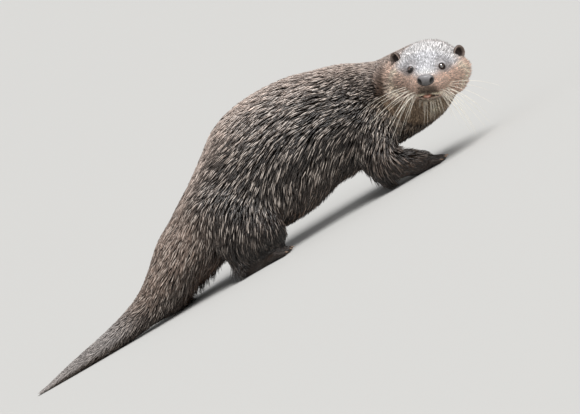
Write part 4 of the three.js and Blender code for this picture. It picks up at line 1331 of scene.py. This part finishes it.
def whisker_roots(side):
    """Bases, ways and lengths of one side's whiskers in rows over the lip pad, fanning down and outwards."""
    row, column = (m.ravel() for m in np.meshgrid(np.arange(4), np.arange(4), indexing="ij"))
    n = len(row)
    draw = np.random.default_rng(31 + side)
    guess = WHISKER_SPOTS * [1, side, 1] + draw.normal(0, 0.3, (n, 3))
    down = np.array([-0.05, -0.35, -0.75, -1.3])[row] + draw.normal(0, 0.14, n)
    ways = np.stack([0.62 - 0.12 * column + draw.normal(0, 0.08, n), side * np.ones(n), down], 1)
    lengths = (54 + 11 * column) * draw.uniform(0.8, 1.15, n)
    return guess, unit(ways), lengths


def chin_roots():
    """Bases, ways and lengths of the long hairs that hang from the lower lip, cheeks and chin."""
    draw = np.random.default_rng(5)
    n = 26
    left = np.linspace(-31, 28, n) + draw.normal(0, 1.2, n)
    guess = np.stack([20 - 0.02 * left ** 2 + draw.normal(0, 2, n), left,
                      -43 + 0.008 * left ** 2 + draw.normal(0, 2.5, n)], 1)
    ways = np.stack([0.15 + 0 * left, left * 0.02 + draw.normal(0, 0.12, n), -1 + 0 * left], 1)
    return guess, unit(ways), draw.uniform(18, 46, n)


def make_nose_leather():
    """Damp pebbled skin: the pad's own colours, with coarse grain in the brightness and fine grain as
    bump."""
    material, tree, shader = new_material("nose_leather", 0.34, 0.6, 0.25, 0.2)
    shaded(tree, shader, own_colour(tree), ranged(tree, noise_on(tree, 3.0), 0.85, 1.15))
    bumped(tree, shader, noise_on(tree, 0.8), 0.35)
    return material


def make_eye_gloss():
    """A wet eye: the ball's own colours, a little uneven, under a clear coat that bends light strongly."""
    material, tree, shader = new_material("eye_gloss", 0.05, 0.6, 1.0, 0.02)
    shader.inputs["IOR"].default_value = 1.9
    shader.inputs["Coat IOR"].default_value = 2.2
    shaded(tree, shader, own_colour(tree), ranged(tree, noise_on(tree, 1.2), 0.7, 1.3))
    return material


def plain_material(name, colour, grain, *gloss):
    """One colour varied by noise of the given grain, with finer noise as bump."""
    material, tree, shader = new_material(name, *gloss)
    shaded(tree, shader, (*colour, 1), ranged(tree, noise_on(tree, grain), 0.8, 1.15))
    bumped(tree, shader, noise_on(tree, grain / 2), 0.1)
    return material


NOSE_LEATHER = make_nose_leather()
TONGUE_WET = plain_material("tongue_wet", display(188, 138, 118), 1.5, 0.3, 0.6, 0.3, 0.1)
CLAW_HORN = plain_material("claw_horn", display(128, 100, 78), 2.5, 0.35, 0.5, 0.2, 0.15)
WHISKER = plain_material("whisker", display(244, 236, 220), 6, 0.4, 0.5)
EYE_GLOSS = make_eye_gloss()

face = []
for side, word in ((-1, "right"), (1, "left")):
    eye = make_eye(f"eyeball_{word}", side, EYE_GLOSS)
    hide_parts(f"eye_{word}")
    ear = make_ear(f"ear_cup_{word}", side)
    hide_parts(f"ear_{word}")
    fur = make_ear_fur(f"ear_fur_{word}", side)
    face += [eye, ear, fur]
nose = make_nose()
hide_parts("nose")
tongue = make_tongue()
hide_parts("tongue")
face += [nose, tongue]
for name, foot in FEET.items():
    claws = make_claws(f"claws_{name}", foot)
    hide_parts(*[f"claw_{name}_{toe}" for toe in ("outer", "fourth", "third", "second", "inner")])
    face.append(claws)

DROOP = HEAD_AXES @ np.array([-0.51, 0, -0.86])
roots, ways, lengths = (np.concatenate(x) for x in zip(whisker_roots(-1), whisker_roots(1), chin_roots()))
bases = settle(skin_distance, from_head(roots), 8, 3.0)
droop = np.where(np.arange(len(roots)) < 32, 0.28, 0.2)[:, None] * DROOP
face.append(make_whiskers("whiskers", bases, ways @ HEAD_AXES, lengths, droop @ HEAD_AXES, 0.42, WHISKER))
for piece in face:
    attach(piece, "root")


# ------------------------------------------------------------------ floor, light and camera

def make_floor():
    """A plain pale floor, level at the soles."""
    mesh = bpy.data.meshes.new("floor")
    half = 90
    corners = [(-half, -half, 0), (half, -half, 0), (half, half, 0), (-half, half, 0)]
    mesh.from_pydata(corners, [], [(0, 1, 2, 3)])
    floor = bpy.data.objects.new("floor", mesh)
    bpy.context.scene.collection.objects.link(floor)
    mesh.materials.append(new_material("floor", 0.9, 0.2, colour=display(196, 195, 192))[0])


def add_sun(name, way, strength, spread):
    """A soft far lamp shining from the given way."""
    lamp = bpy.data.lights.new(name, "SUN")
    lamp.energy = strength
    lamp.angle = math.radians(spread)
    made = bpy.data.objects.new(name, lamp)
    made.rotation_euler = Vector(way).to_track_quat("Z", "Y").to_euler()
    bpy.context.scene.collection.objects.link(made)


def make_world(colour, strength):
    """An even pale light from all round."""
    world = bpy.data.worlds.new("studio")
    world.use_nodes = True
    background = world.node_tree.nodes["Background"]
    background.inputs["Color"].default_value = (*colour, 1)
    background.inputs["Strength"].default_value = strength
    bpy.context.scene.world = world


def make_camera(aim, away, elevation, roll, height_seen):
    """A camera at the animal's side, a little above it, rolled so that the floor climbs to the right."""
    elevation, roll = math.radians(elevation), math.radians(roll)
    right, up = np.array([1, 0, 0]), np.array([0, math.sin(elevation), math.cos(elevation)])
    ahead = np.array([0, math.cos(elevation), -math.sin(elevation)])
    axes = np.stack([right * math.cos(roll) - up * math.sin(roll),
                     right * math.sin(roll) + up * math.cos(roll), -ahead], 1)
    lens = bpy.data.cameras.new("camera")
    lens.sensor_width = 36
    lens.lens = 36 * away / height_seen
    lens.clip_end = 400
    camera = bpy.data.objects.new("camera", lens)
    turned = np.eye(4)
    turned[:3, :3] = axes
    turned[:3, 3] = (np.array(aim) - ORIGIN) / 1000 - ahead * away
    camera.matrix_world = Matrix(turned.tolist())
    bpy.context.scene.collection.objects.link(camera)
    bpy.context.scene.camera = camera


make_floor()
add_sun("sky_light", (0.36, -0.40, 0.84), 3.3, 44)
add_sun("side_fill", (0.24, -0.85, 0.47), 0.55, 24)
make_world((0.97, 0.98, 1.0), 0.36)
make_camera(aim=(514.95, 0, 57.17), away=8.0, elevation=5, roll=30.9, height_seen=0.957)
bpy.context.scene.view_settings.view_transform = "Standard"
